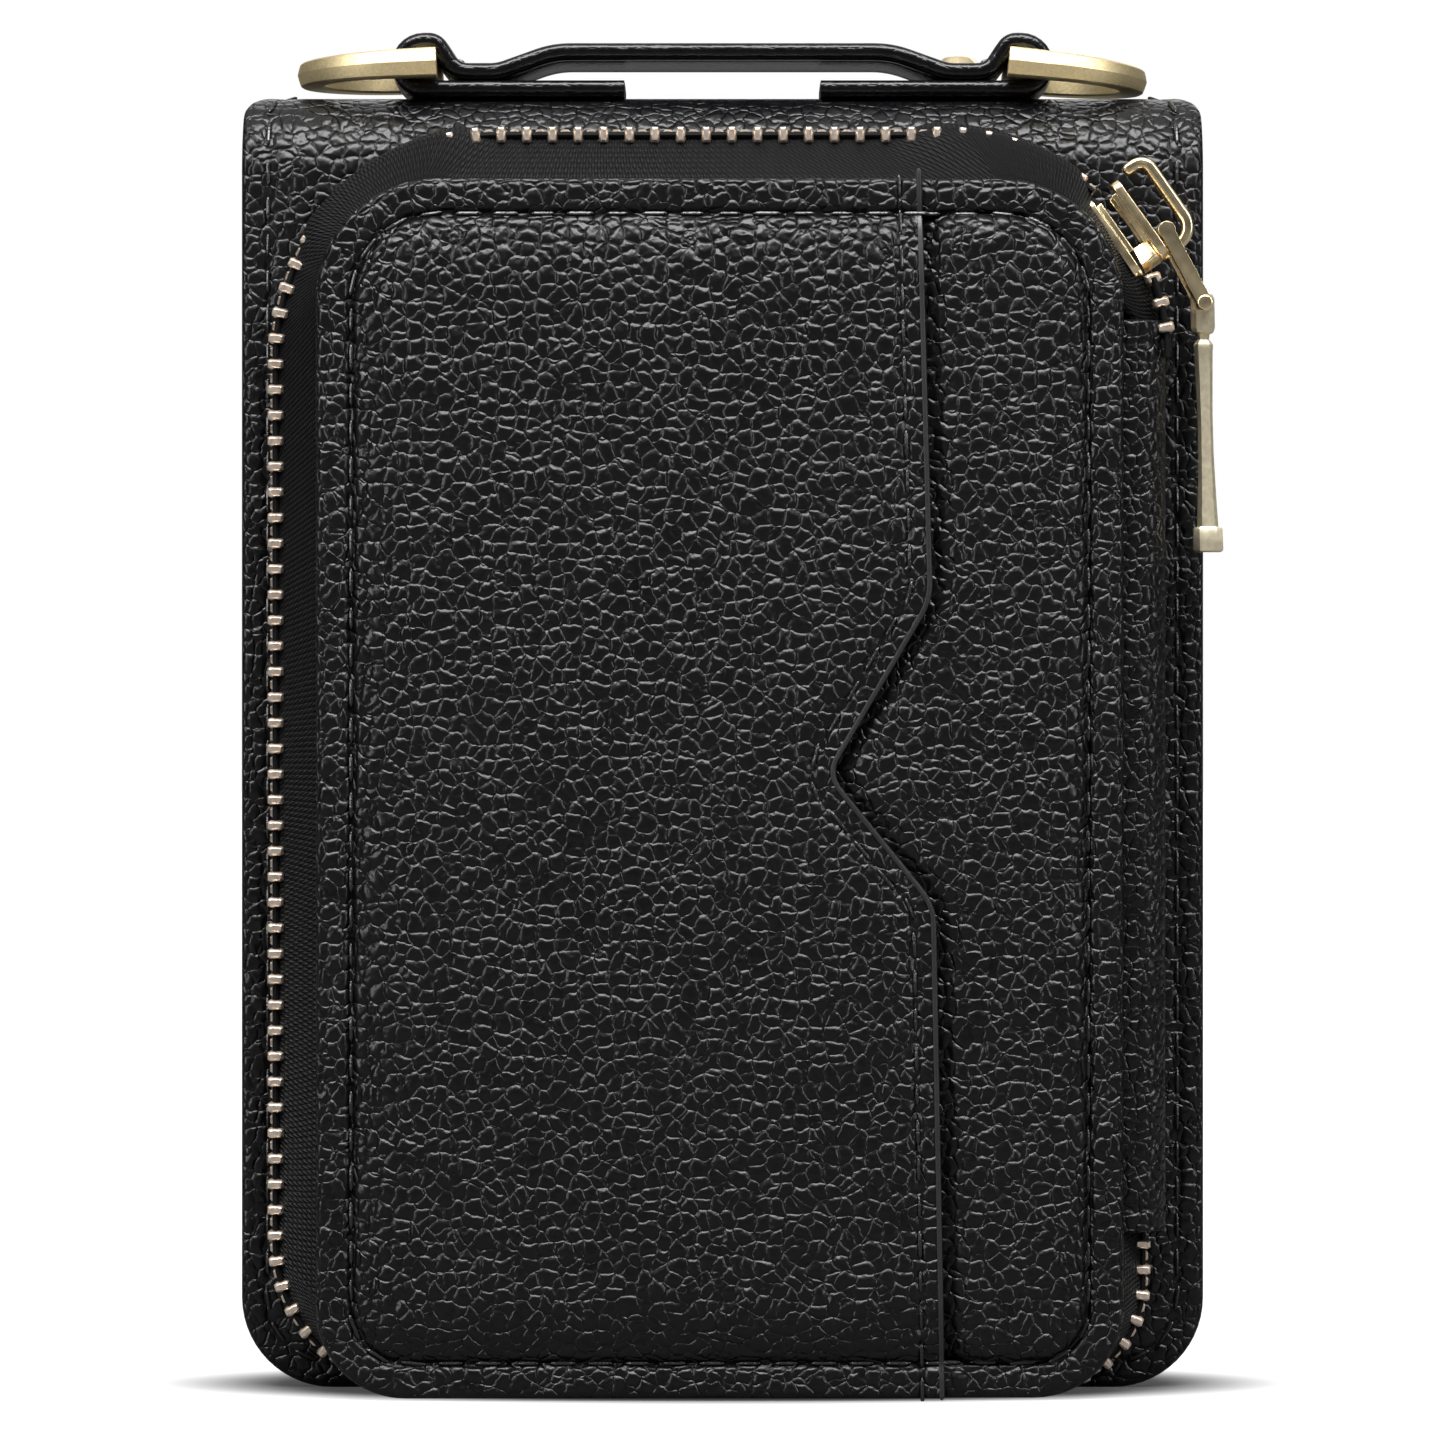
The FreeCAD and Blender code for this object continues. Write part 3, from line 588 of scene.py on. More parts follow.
def pathTree(name):
    # puts a template along a path, a pitch apart and each a little smaller by chance
    tree = bpy.data.node_groups.new(name, "GeometryNodeTree")
    for label, kind in pathSet["inputs"]:
        tree.interface.new_socket(label, in_out="INPUT", socket_type="NodeSocket" + kind)
    tree.interface.new_socket("Geometry", in_out="OUTPUT", socket_type="NodeSocketGeometry")
    nodes = {label: tree.nodes.new(kind) for label, kind in pathSet["nodes"].items()}
    nodes["even"].mode = "LENGTH"
    nodes["turn"].axis = "X"
    nodes["chance"].data_type = "FLOAT"
    nodes["chance"].inputs["Seed"].default_value = pathSet["seed"]
    nodes["smallest"].operation = "SUBTRACT"
    nodes["smallest"].inputs[0].default_value = 1.0
    for giver, output, taker, entry in pathSet["links"]:
        tree.links.new(nodes[giver].outputs[output], nodes[taker].inputs[entry])
    return tree, nodes["turn"]


alongPath, alongTurn = pathTree("alongPath")


def repeatAlong(name, paths, template, pitch, material, uneven=0.0, pivot="AUTO"):
    points = []
    edges = []
    for path in paths:
        start = len(points)
        points += [tuple(point) for point in path]
        edges += [(index, index + 1) for index in range(start, len(points) - 1)]
    mesh = bpy.data.meshes.new(name + "Path")
    mesh.from_pydata(points, edges, [])
    carrier = linked(name + "Path", mesh)
    modifier = carrier.modifiers.new("repeat", "NODES")
    modifier.node_group = alongPath
    alongTurn.pivot_axis = pivot
    given = {"Pitch": pitch, "Template": template, "Finish": material, "Uneven": uneven}
    for item in alongPath.interface.items_tree:
        if item.in_out == "INPUT" and item.name in given:
            modifier[item.identifier] = given[item.name]
    bpy.context.view_layer.update()
    settled = carrier.evaluated_get(bpy.context.evaluated_depsgraph_get())
    result = bpy.data.meshes.new_from_object(settled)
    result.name = name
    carrier.modifiers.clear()
    bpy.data.objects.remove(carrier)
    result.shade_smooth()
    return linked(name, result)


def dropTemplate(template):
    mesh = template.data
    bpy.data.objects.remove(template)
    bpy.data.meshes.remove(mesh)


stitchSet = {
    "length": 2.7 * mm, "thick": 0.46 * mm, "pitch": 3.6 * mm, "round": 8, "short": 0.65,
    "uneven": 0.2, "sunk": 0.04 * mm,
    # place along the stitch and swell, as shares of its length and thickness
    "rows": [(-0.5, 0.25), (-0.46, 0.62), (-0.34, 0.95), (0.0, 1.0), (0.34, 0.95), (0.46, 0.62), (0.5, 0.25)],
}


def stitchTemplate(length):
    # one thread that dips into its holes at both ends
    around, thick, rows = stitchSet["round"], stitchSet["thick"], stitchSet["rows"]
    points = []
    for place, swell in rows:
        for step in range(around):
            angle = 2 * math.pi * step / around
            radius = thick / 2 * swell
            points.append((place * length, radius * math.cos(angle), radius * math.sin(angle)))
    faces = [tuple(reversed(range(around))), tuple(range(len(points) - around, len(points)))]
    for row in range(len(rows) - 1):
        for step in range(around):
            after = (step + 1) % around
            here = row * around
            faces.append((here + step, here + after, here + around + after, here + around + step))
    return meshPiece("stitchTemplate", points, faces, finish["thread"])


stitch = stitchTemplate(stitchSet["length"])
shortStitch = stitchTemplate(stitchSet["short"] * stitchSet["length"])


# ---- covers and spine: leather turned over boards, in one run over both folds
def rideOn(piece, body, slot, *nodes):
    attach(piece, body)
    if nodes:
        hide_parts(*nodes)
    return piece


coverSet = {
    "cornerRadius": 9.0 * mm,
    "thickness": 2.0 * mm,
    "foldRadius": 8.0 * mm, "foldSteps": 20,
    "foldThin": 0.5,                # share of the depth that is skived away in the middle of a fold
    "lining": 0.5 * mm,
    "liningInset": 0.8 * mm,
    "boardShort": 0.3 * mm,
    "topRadius": 1.8 * mm,
    "stitchInset": 2.65 * mm,
    # distance in from the edge and depth under the face, from the back of the leather to its front
    "rows": [(9.0, 2.0), (0.5, 2.0), (0.16, 1.86), (0.0, 1.5), (0.0, 0.62), (0.07, 0.34), (0.24, 0.13),
             (0.55, 0.01), (0.95, -0.05), (1.5, -0.02), (2.1, 0.0), (2.4, 0.1), (2.65, 0.17), (2.9, 0.1),
             (3.2, 0.0), (4.5, -0.03), (8.0, -0.03)],
}
coverHalf = coverHigh.x
foldZ = wallTop - coverSet["foldRadius"]
faceFront, faceBack = coverLow.y, backHigh.y
coverRadii = (coverSet["cornerRadius"], coverSet["cornerRadius"], 0, 0)


def coverOutline(inset):
    return roundedOutline(rectangle(-coverHalf, coverHalf, coverLow.z, foldZ + inset), coverRadii, inset)


def coverPanel(name, faceY, way):
    # way is +1 where the leather's inside lies towards +y
    loops = []
    for inset, depth in coverSet["rows"]:
        loops.append([(x, faceY + way * depth * mm, z) for x, z in coverOutline(inset * mm)])
    return stackLoops(name, loops, finish["cover"])


def sideAt(z):
    # half the width at a height, with the top corners rounded
    radius = coverSet["topRadius"]
    rise = max(z - wallTop + radius, 0.0)
    return coverHalf - radius + math.sqrt(max(radius ** 2 - rise ** 2, 0.0))


def foldTurn(faceY, way):
    # a quarter turn from the cover's face to the top of the spine
    steps = coverSet["foldSteps"]
    radius = coverSet["foldRadius"]
    centre = Vector((0, faceY + way * radius, foldZ))
    turn = []
    for step in range(steps + 1):
        angle = math.pi / 2 * step / steps
        out = Vector((0, -way * math.cos(angle), math.sin(angle)))
        thick = coverSet["thickness"] * (1 - coverSet["foldThin"] * math.sin(2 * angle))
        turn.append((centre + out * radius, out, thick))
    return turn


def leatherRun(name, places):
    # the turned edges at both sides of the leather, carried over the places given
    loops = []
    for origin, outwards, thick in places:
        half = sideAt(origin.z)
        rows = [(inset * mm, -min(depth * mm, thick)) for inset, depth in coverSet["rows"]]
        left = [origin + outwards * out + Vector((inset - half, 0, 0)) for inset, out in rows]
        right = [origin + outwards * out + Vector((half - inset, 0, 0)) for inset, out in reversed(rows)]
        loops.append(left + right)
    return stackLoops(name, loops, finish["cover"])


def liningRun(name, places):
    loops = []
    for origin, outwards, thick in places:
        half = sideAt(origin.z) - coverSet["liningInset"]
        near = origin - outwards * thick
        far = near - outwards * coverSet["lining"]
        loops.append([near - Vector((half, 0, 0)), near + Vector((half, 0, 0)),
                      far + Vector((half, 0, 0)), far - Vector((half, 0, 0))])
    return stackLoops(name, loops, finish["lining"])


def liningPanel(name, faceY, way):
    outline = coverOutline(coverSet["liningInset"])
    near = faceY + way * coverSet["thickness"]
    far = near + way * coverSet["lining"]
    return stackLoops(name, [[(x, y, z) for x, z in outline] for y in (near, far)], finish["lining"])


def coverBoard(name, node):
    # the board ends below the fold, so that the bent leather clears it
    low, high = boxOf(node)
    radius = coverSet["cornerRadius"] - (low.z - coverLow.z)
    corners = rectangle(low.x, high.x, low.z, min(high.z, foldZ - coverSet["boardShort"]))
    outline = roundedOutline(corners, (radius, radius, 0, 0), 0)
    return stackLoops(name, [[(x, y, z) for x, z in outline] for y in (low.y, high.y)], finish["board"])


def spineBoard(name, node):
    low, high = boxOf(node)
    near = max(low.y, frontTurn[-1][0].y + coverSet["boardShort"])
    far = min(high.y, backTurn[-1][0].y - coverSet["boardShort"])
    corners = rectangle(low.x, high.x, near, far)
    return stackLoops(name, [[(x, y, z) for x, y in corners] for z in (low.z, high.z)], finish["board"])


frontTurn = foldTurn(faceFront, 1)
backTurn = foldTurn(faceBack, -1)
spineRun = [frontTurn[-1], backTurn[-1]]
for side, faceY, way in (("front", faceFront, 1), ("back", faceBack, -1)):
    panel = coverPanel(side + "CoverLeather", faceY, way)
    rideOn(panel, side + "_cover", "pebbled_leather", side + "_cover_leather")
rideOn(leatherRun("spineLeather", spineRun), "spine", "pebbled_leather", "spine_leather")
for side, turn in (("front", frontTurn), ("back", backTurn)):
    fold = leatherRun(side + "FoldLeather", turn)
    inset = coverSet["stitchInset"]
    paths = [[(way * (sideAt(origin.z) - inset), *(origin - outwards * stitchSet["sunk"]).yz)
              for origin, outwards, thick in turn] for way in (-1, 1)]
    row = repeatAlong(side + "FoldStitches", paths, stitch, stitchSet["pitch"], finish["thread"])
    inside = liningRun(side + "FoldLining", turn)
    for piece, slot in ((fold, "pebbled_leather"), (row, "pebbled_leather"), (inside, "lining_cloth")):
        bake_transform(piece)
for side, faceY, way in (("front", faceFront, 1), ("back", faceBack, -1)):
    body = side + "_cover"
    rideOn(liningPanel(side + "CoverLining", faceY, way), body, "lining_cloth", body + "_lining")
    rideOn(coverBoard(side + "CoverBoard", body + "_board"), body, "board", body + "_board")
rideOn(liningRun("spineLining", spineRun), "spine", "lining_cloth", "spine_lining")
rideOn(spineBoard("spineBoard", "spine_board"), "spine", "board", "spine_board")


def coverStitches():
    inset, sunk = coverSet["stitchInset"], stitchSet["sunk"]
    outline = coverOutline(inset)
    # from one end of the fold round both low corners to the fold's other end
    threeCorners = 3 * len(outline) // 4
    line = outline[-1:] + outline[:threeCorners]
    for name, faceY, way, body in (("front", faceFront, 1, "front_cover"),
                                   ("back", faceBack, -1, "back_cover")):
        path = [(x, faceY + way * sunk, z) for x, z in line]
        row = repeatAlong(name + "CoverStitches", [path], stitch, stitchSet["pitch"], finish["thread"],
                          stitchSet["uneven"])
        rideOn(row, body, "pebbled_leather")
    high = wallTop - sunk
    gap = stitchSet["pitch"] / 2
    ends = (frontTurn[-1][0].y + gap, backTurn[-1][0].y - gap)
    across = sideAt(wallTop) - inset
    paths = [[(x, ends[0], high), (x, ends[1], high)] for x in (-across, across)]
    row = repeatAlong("spineStitches", paths, stitch, stitchSet["pitch"], finish["thread"],
                      stitchSet["uneven"])
    rideOn(row, "spine", "pebbled_leather")


coverStitches()
print("covers and spine are made")


# ---- pocket door: rolled rim, padded field and the card slip over its left part
doorSet = {
    "radii": (8.8 * mm, 8.8 * mm, 12.0 * mm, 12.0 * mm),
    "rimRows": [(3.5, 1.9), (0.0, 1.9), (0.0, 0.75), (0.06, 0.45), (0.22, 0.2), (0.45, 0.06), (0.75, 0.0),
                (1.7, -0.02), (2.5, 0.0), (2.9, 0.06), (3.2, 0.22), (3.42, 0.5), (3.5, 0.8)],
    "round": 0.75 * mm,
    "groove": 3.5 * mm,
    "grooveDepth": 0.5 * mm,
    "grooveHalf": 0.42 * mm,
    "pad": 1.15 * mm,
    "padRun": 6.5 * mm,
    "fine": [0, 0.05, 0.13, 0.25, 0.4, 0.6, 0.85, 1.2, 1.6, 2.0, 2.4, 2.7, 2.95, 3.15, 3.3, 3.5, 3.7, 3.85,
             4.05, 4.3, 4.6, 4.95, 5.3, 5.7, 6.1, 6.6, 7.1, 7.6, 8.2, 8.9, 9.6, 10.4],
    "step": 1.1 * mm,
}
doorBox = (rimLow.x, rimHigh.x, rimLow.z, rimHigh.z)
doorFine = [gap * mm for gap in doorSet["fine"]]


def sewnHeight(distance):
    # how far the leather stands above the rim's top, from the border inwards
    edge = doorSet["round"]
    height = 0.0
    if distance < edge:
        height -= edge - math.sqrt(edge ** 2 - (edge - distance) ** 2)
    past = (distance - doorSet["groove"]) / doorSet["grooveHalf"]
    height -= doorSet["grooveDepth"] * math.exp(-past ** 2)
    if distance > doorSet["groove"]:
        share = min((distance - doorSet["groove"]) / doorSet["padRun"], 1.0)
        height += doorSet["pad"] * (1 - (1 - share) ** 2)
    return height


def makeRim():
    corners = rectangle(*doorBox)
    loops = []
    for inset, depth in doorSet["rimRows"]:
        outline = roundedOutline(corners, doorSet["radii"], inset * mm)
        loops.append([(x, rimLow.y + depth * mm, z) for x, z in outline])
    rim = stackLoops("doorRim", loops + loops[:1], finish["door"], closed=False)
    rideOn(rim, "pocket_door", "pebbled_leather", "door_rim")


slipSet = {
    "leanLow": 1.2 * mm, "leanMouth": 0.3 * mm, "leanHigh": 1.1 * mm,
    "tip": (10.5 * mm, 61.4 * mm),
    "mouth": (48.6 * mm, 78.5 * mm),
    "smooth": 1.5 * mm,
    "round": 0.28 * mm,
    "paint": {"half": 0.3 * mm, "proud": 0.10 * mm, "deep": 0.8 * mm, "pastLow": 0.1 * mm,
              "pastHigh": 0.9 * mm, "held": 0.9 * mm, "rest": 1.2 * mm, "endRound": 0.5 * mm,
              "endFine": [0, 0.15 * mm, 0.4 * mm], "step": 0.7 * mm},
    "stitchInset": 2.2 * mm,
    "stitchDepth": 0.22 * mm,
    "stitchHalf": 0.35 * mm,
    "edgeFine": [0, 0.06, 0.14, 0.28, 0.6, 1.1, 1.5, 1.75, 1.95, 2.1, 2.2, 2.3, 2.45, 2.65, 2.9, 3.4, 4.2],
    "settleRun": 6 * mm, "settleDepth": 0.3 * mm,
    "probe": 0.2 * mm,
}


def slipEdge(z):
    # the slip's right edge, straight but for a notch with a soft tip
    low, high = slipSet["mouth"]
    tipX, tipZ = slipSet["tip"]
    table = [(doorBox[2], slipHigh.x + slipSet["leanLow"]), (low, slipHigh.x + slipSet["leanMouth"]),
             (tipZ, tipX),
             (high, slipHigh.x), (doorBox[3], slipHigh.x - slipSet["leanHigh"])]
    window = slipSet["smooth"]
    return sum(follow(table, z + window * part / 4) for part in range(-4, 5)) / 9


def slipSlope(z):
    gap = slipSet["probe"]
    return (slipEdge(z + gap) - slipEdge(z - gap)) / (2 * gap)


def slipRun(z):
    # distance measured square to the edge for each step in x
    return 1 / math.hypot(1, slipSlope(z))


def slipFront(x, z):
    height = sewnHeight(insideDistance(x, z, doorBox, doorSet["radii"]))
    apart = (slipEdge(z) - x) * slipRun(z)
    edge = slipSet["round"]
    if apart < edge:
        height -= edge - math.sqrt(max(edge ** 2 - (edge - apart) ** 2, 0))
    past = (apart - slipSet["stitchInset"]) / slipSet["stitchHalf"]
    height -= slipSet["stitchDepth"] * math.exp(-past ** 2)
    settle = min(apart / slipSet["settleRun"], 1.0)
    height -= slipSet["settleDepth"] * (1 - settle) ** 2 if height > 0 else 0
    return slipLow.y - height


sideShare = 0.3     # of a sheet's width, where its columns keep their distance from the border
narrowest = 0.6     # of the widest row, below which those columns close up


def sheetGrid(zRows, leftOf, rightOf, leftFine, rightFine, step, frontOf, backOf):
    # rows of points between two borders, with fine columns beside both
    front, back = [], []
    widest = max(rightOf(z) - leftOf(z) for z in zRows)
    near = [gap for gap in spread(0, widest, leftFine, step) if gap < widest - rightFine[-1] - step / 2]
    near = [gap for gap in near if gap <= widest / 2] or near
    last, until = near[-1], widest - rightFine[-1]
    more = max(int((until - last) / step), 1)
    ends = near + [last + (until - last) * part / more for part in range(1, more)]
    ends += [widest - gap for gap in reversed(rightFine)]
    for z in zRows:
        left, right = leftOf(z), rightOf(z)
        squeeze = min(1.0, (right - left) / widest / narrowest)
        frontRow, backRow = [], []
        for gap in ends:
            fromRight = widest - gap
            if gap <= widest * sideShare:
                x = left + gap * squeeze
            elif fromRight <= widest * sideShare:
                x = right - fromRight * squeeze
            else:
                share = (gap / widest - sideShare) / (1 - 2 * sideShare)
                start = left + sideShare * widest * squeeze
                end = right - sideShare * widest * squeeze
                x = start + (end - start) * share
            frontRow.append((x, frontOf(x, z), z))
            backRow.append((x, backOf(x, z), z))
        front.append(frontRow)
        back.append(backRow)
    return front, back


def makeSlip():
    rows = spread(doorBox[2], doorBox[3], doorFine, doorSet["step"])
    grids = sheetGrid(rows, lambda z: borderAt(z, doorBox, doorSet["radii"], "left"), slipEdge, doorFine,
                      [gap * mm for gap in slipSet["edgeFine"]], doorSet["step"], slipFront,
                      lambda x, z: slipHigh.y)
    slip = gridShell("cardSlip", *grids, finish["door"])
    rideOn(slip, "pocket_door", "pebbled_leather", "card_slip")


def makeSlipEdge():
    # the painted edge stands a little over the leather and ends in a nub above the rim
    paint = slipSet["paint"]
    half, proud, deep, held = paint["half"], paint["proud"], paint["deep"], paint["held"]
    section = [(half, -deep), (half, -0.2 * deep), (0.72 * half, 0.5 * proud), (0.3 * half, proud),
               (-0.3 * half, proud), (-0.72 * half, 0.5 * proud), (-half, -0.3 * deep), (-half, -deep)]
    stations = []
    low, high = doorBox[2:]
    zRows = spread(low - paint["pastLow"], high + paint["pastHigh"], paint["endFine"], paint["step"])
    for z in zRows:
        at = min(max(z, low + held), high - held)
        across = Vector((1, 0, -slipSlope(at))).normalized()
        front = slipFront(slipEdge(at) - paint["rest"], at)
        ends = min(z - zRows[0], zRows[-1] - z)
        taper = math.sqrt(max(1 - (1 - min(ends / paint["endRound"], 1)) ** 2, 0.04))
        stations.append((Vector((slipEdge(at) - half, front, z)), across * taper, Vector((0, -taper, 0))))
    edge = sweepSection("slipPaintedEdge", section, stations, finish["edgePaint"])
    rideOn(edge, "pocket_door", "pebbled_leather")


fieldSet = {
    "bulge": 0.25 * mm, "bulgeStart": 0.1 * mm, "bulgeRun": 2.6 * mm,
    "standsOut": -0.9 * mm, "under": 0.02 * mm,
}
fieldLow, fieldHigh = boxOf("door_leather")


def fieldFront(x, z):
    height = sewnHeight(insideDistance(x, z, doorBox, doorSet["radii"])) - doorSet["pad"]
    past = min(max((x - slipEdge(z) - fieldSet["bulgeStart"]) / fieldSet["bulgeRun"], 0.0), 1.0)
    height += (doorSet["pad"] + fieldSet["bulge"]) * past * past * (3 - 2 * past)
    most = fieldSet["standsOut"] if past > 0 else fieldSet["under"]
    return rimLow.y + max(-height, most)


def makeField():
    box = (fieldLow.x, fieldHigh.x, fieldLow.z, fieldHigh.z)
    radii = [radius - doorSet["groove"] for radius in doorSet["radii"]]
    fine = [gap - doorSet["groove"] for gap in doorFine if gap >= doorSet["groove"]]
    rows = spread(box[2], box[3], fine, doorSet["step"])
    grids = sheetGrid(rows, lambda z: borderAt(z, box, radii, "left"),
                      lambda z: borderAt(z, box, radii, "right"),
                      fine, fine, doorSet["step"], fieldFront, lambda x, z: fieldHigh.y)
    field = gridShell("doorField", *grids, finish["door"])
    rideOn(field, "pocket_door", "pebbled_leather", "door_leather")


makeRim()
makeSlip()
makeSlipEdge()
makeField()


doorThread = {"fine": 1.2 * mm, "short": 0.3 * mm, "lift": 0.30 * mm, "break": 5 * mm, "uneven": 0.25,
              "slipEnds": 0.8 * mm, "slipLift": 0.08 * mm}


def doorStitches():
    # one thread round the whole door in its groove, over the slip on the left
    outline = roundedOutline(rectangle(*doorBox), doorSet["radii"], doorSet["groove"])
    over, under = [], []
    for (firstX, firstZ), (lastX, lastZ) in zip(outline, outline[1:] + outline[:1]):
        count = max(int(math.hypot(lastX - firstX, lastZ - firstZ) / doorThread["fine"]), 1)
        for part in range(count):
            x, z = (firstX + (lastX - firstX) * part / count, firstZ + (lastZ - firstZ) * part / count)
            (over if x < slipEdge(z) - doorThread["short"] else under).append((x, z))
    split = next(index for index in range(1, len(over))
                 if math.dist(over[index - 1], over[index]) > doorThread["break"])
    over = over[split:] + over[:split]
    paths = [[(x, face + doorThread["lift"], z) for x, z in line]
             for face, line in ((slipLow.y, over), (rimLow.y, under))]
    row = repeatAlong("doorStitches", paths, stitch, stitchSet["pitch"], finish["thread"],
                      doorThread["uneven"])
    rideOn(row, "pocket_door", "pebbled_leather")


def slipStitches():
    ends = doorThread["slipEnds"]
    path = []
    for z in spread(doorBox[2] + ends, doorBox[3] - ends, [0], ends):
        x = slipEdge(z) - slipSet["stitchInset"] / slipRun(z)
        path.append((x, slipFront(x, z) - doorThread["slipLift"], z))
    row = repeatAlong("slipStitches", [path], stitch, stitchSet["pitch"], finish["thread"],
                      doorThread["uneven"])
    rideOn(row, "pocket_door", "pebbled_leather")


doorStitches()
slipStitches()
print("pocket door is made")


# ---- zip: two rows of teeth on corded tapes
chainSet = {
    "left": -44.1 * mm, "rightTop": 43.9 * mm, "rightLow": 41.45 * mm, "top": 124.5 * mm, "low": 1.2 * mm,
    "topRadius": 22.0 * mm, "leftRadius": 14.0 * mm, "rightRadius": 10.0 * mm,
    "middle": coverLow.y - 7.15 * mm,
    "pitch": 2.53 * mm,
    "cornerStart": -12.0, "sliderAt": 55.0, "sliderHalf": 5.1 * mm, "openSpread": 1.3 * mm,
    "toothNear": 0.9 * mm, "toothFar": 2.45 * mm, "toothWide": 1.02 * mm, "toothTall": 1.62 * mm,
    "cordNear": 0.95 * mm, "cordFar": 2.1 * mm, "cordTall": 0.7 * mm,
    "tapeNear": 1.5 * mm,           # the tapes start between the legs of the teeth
    "tuck": 3.5 * mm,               # how far the tape runs on behind each end of the hinge strip
    "rearShare": 0.8,               # the rear row is this much flatter, so that it shows as a thin line
    "tapeThick": 0.5 * mm, "tapeLevels": 10, "doorSeam": 0.5 * mm, "wallSeam": 0.8 * mm, "clothTurn": 2 * mm,
    "pucker": 1.9 * mm,             # how far the tape stands out over the chain
    "puckerLeft": ((109 * mm, 116 * mm), (21 * mm, 26 * mm)),    # heights and distances where it starts
    "puckerRight": ((15 * mm, 21 * mm), (34, 44)),    # distances where it starts, and degrees where it ends
    "stripSide": 30 * mm,
    "lineStep": 0.4 * mm, "matchStep": 1.2 * mm, "slack": 0.01, "openLeast": 0.55, "openRun": 12,
    "bevel": 0.7, "sharp": math.radians(35),
}
arcMiddle = Vector((chainSet["rightTop"] - chainSet["topRadius"], chainSet["top"] - chainSet["topRadius"]))


def chainLine():
    # middle of the chain from its bottom stop, round the left, to the open end behind the hinge strip
    corners = [(chainSet["rightLow"], stripLow.z), (chainSet["rightLow"], chainSet["low"]),
               (chainSet["left"], chainSet["low"]), (chainSet["left"], chainSet["top"]),
               (chainSet["rightTop"], chainSet["top"]), (chainSet["rightTop"], arcMiddle.y)]
    radii = [0, chainSet["rightRadius"], chainSet["leftRadius"], chainSet["topRadius"],
             chainSet["topRadius"], 0]
    return [point for point, way in roundedPath(corners, radii, chainSet["lineStep"])]


def cornerAngle(point):
    # degrees past the top of the right corner arc
    if point.x < 0 or point.y < chainSet["top"] / 2:
        return -90.0
    return math.degrees(math.atan2(point.x - arcMiddle.x, point.y - arcMiddle.y))


def cutLine(line, start, end):
    # the stretch of a line between two distances along it
    piece = []
    travelled = 0.0
    for first, second in zip(line, line[1:]):
        length = (second - first).length
        for at in (start, end):
            if travelled <= at < travelled + length and length > 0:
                piece.append(first.lerp(second, (at - travelled) / length))
        if start < travelled + length < end:
            piece.append(second)
        travelled += length
    return piece


def lengthTo(line, test):
    travelled = 0.0
    for first, second in zip(line, line[1:]):
        if test(first):
            return travelled
        travelled += (second - first).length
    return travelled


def toothTemplate(side):
    # a moulded tooth: a head with a dimple ridge that meshes and a foot clamped on the cord
    near, far = -side * chainSet["toothNear"], side * chainSet["toothFar"]
    halfWide, halfTall = chainSet["toothWide"] / 2, chainSet["toothTall"] / 2
    halfTall *= chainSet["rearShare"] if side > 0 else 1.0
    rows = [(near, 0.62, 0.80), (near + side * 0.16 * mm, 0.86, 0.97), (0.0, 0.98, 1.0),
            (side * 0.55 * mm, 0.9, 0.97), (side * 0.95 * mm, 0.96, 1.0),
            (far - side * 0.45 * mm, 0.96, 0.98),
            (far - side * 0.16 * mm, 0.78, 0.9), (far, 0.46, 0.66)]
    bevel = chainSet["bevel"]
    loops = []
    for y, wide, tall in rows:
        a, b = halfWide * wide, halfTall * tall
        shape = [(a, -b * bevel), (a, b * bevel), (a * bevel, b), (-a * bevel, b),
                 (-a, b * bevel), (-a, -b * bevel), (-a * bevel, -b), (a * bevel, -b)]
        loops.append([(x, y, z) for x, z in shape])
    return stackLoops("tooth", loops, finish["teeth"])


def cordStations(line, y):
    # stations for sweepSection along a line that lies at one depth
    stations = []
    for index, point in enumerate(line):
        before = line[max(index - 1, 0)]
        after = line[min(index + 1, len(line) - 1)]
        way = (after - before).normalized()
        stations.append((Vector((point.x, y, point.y)), Vector((0, 1, 0)), Vector((-way.y, 0, way.x))))
    return stations


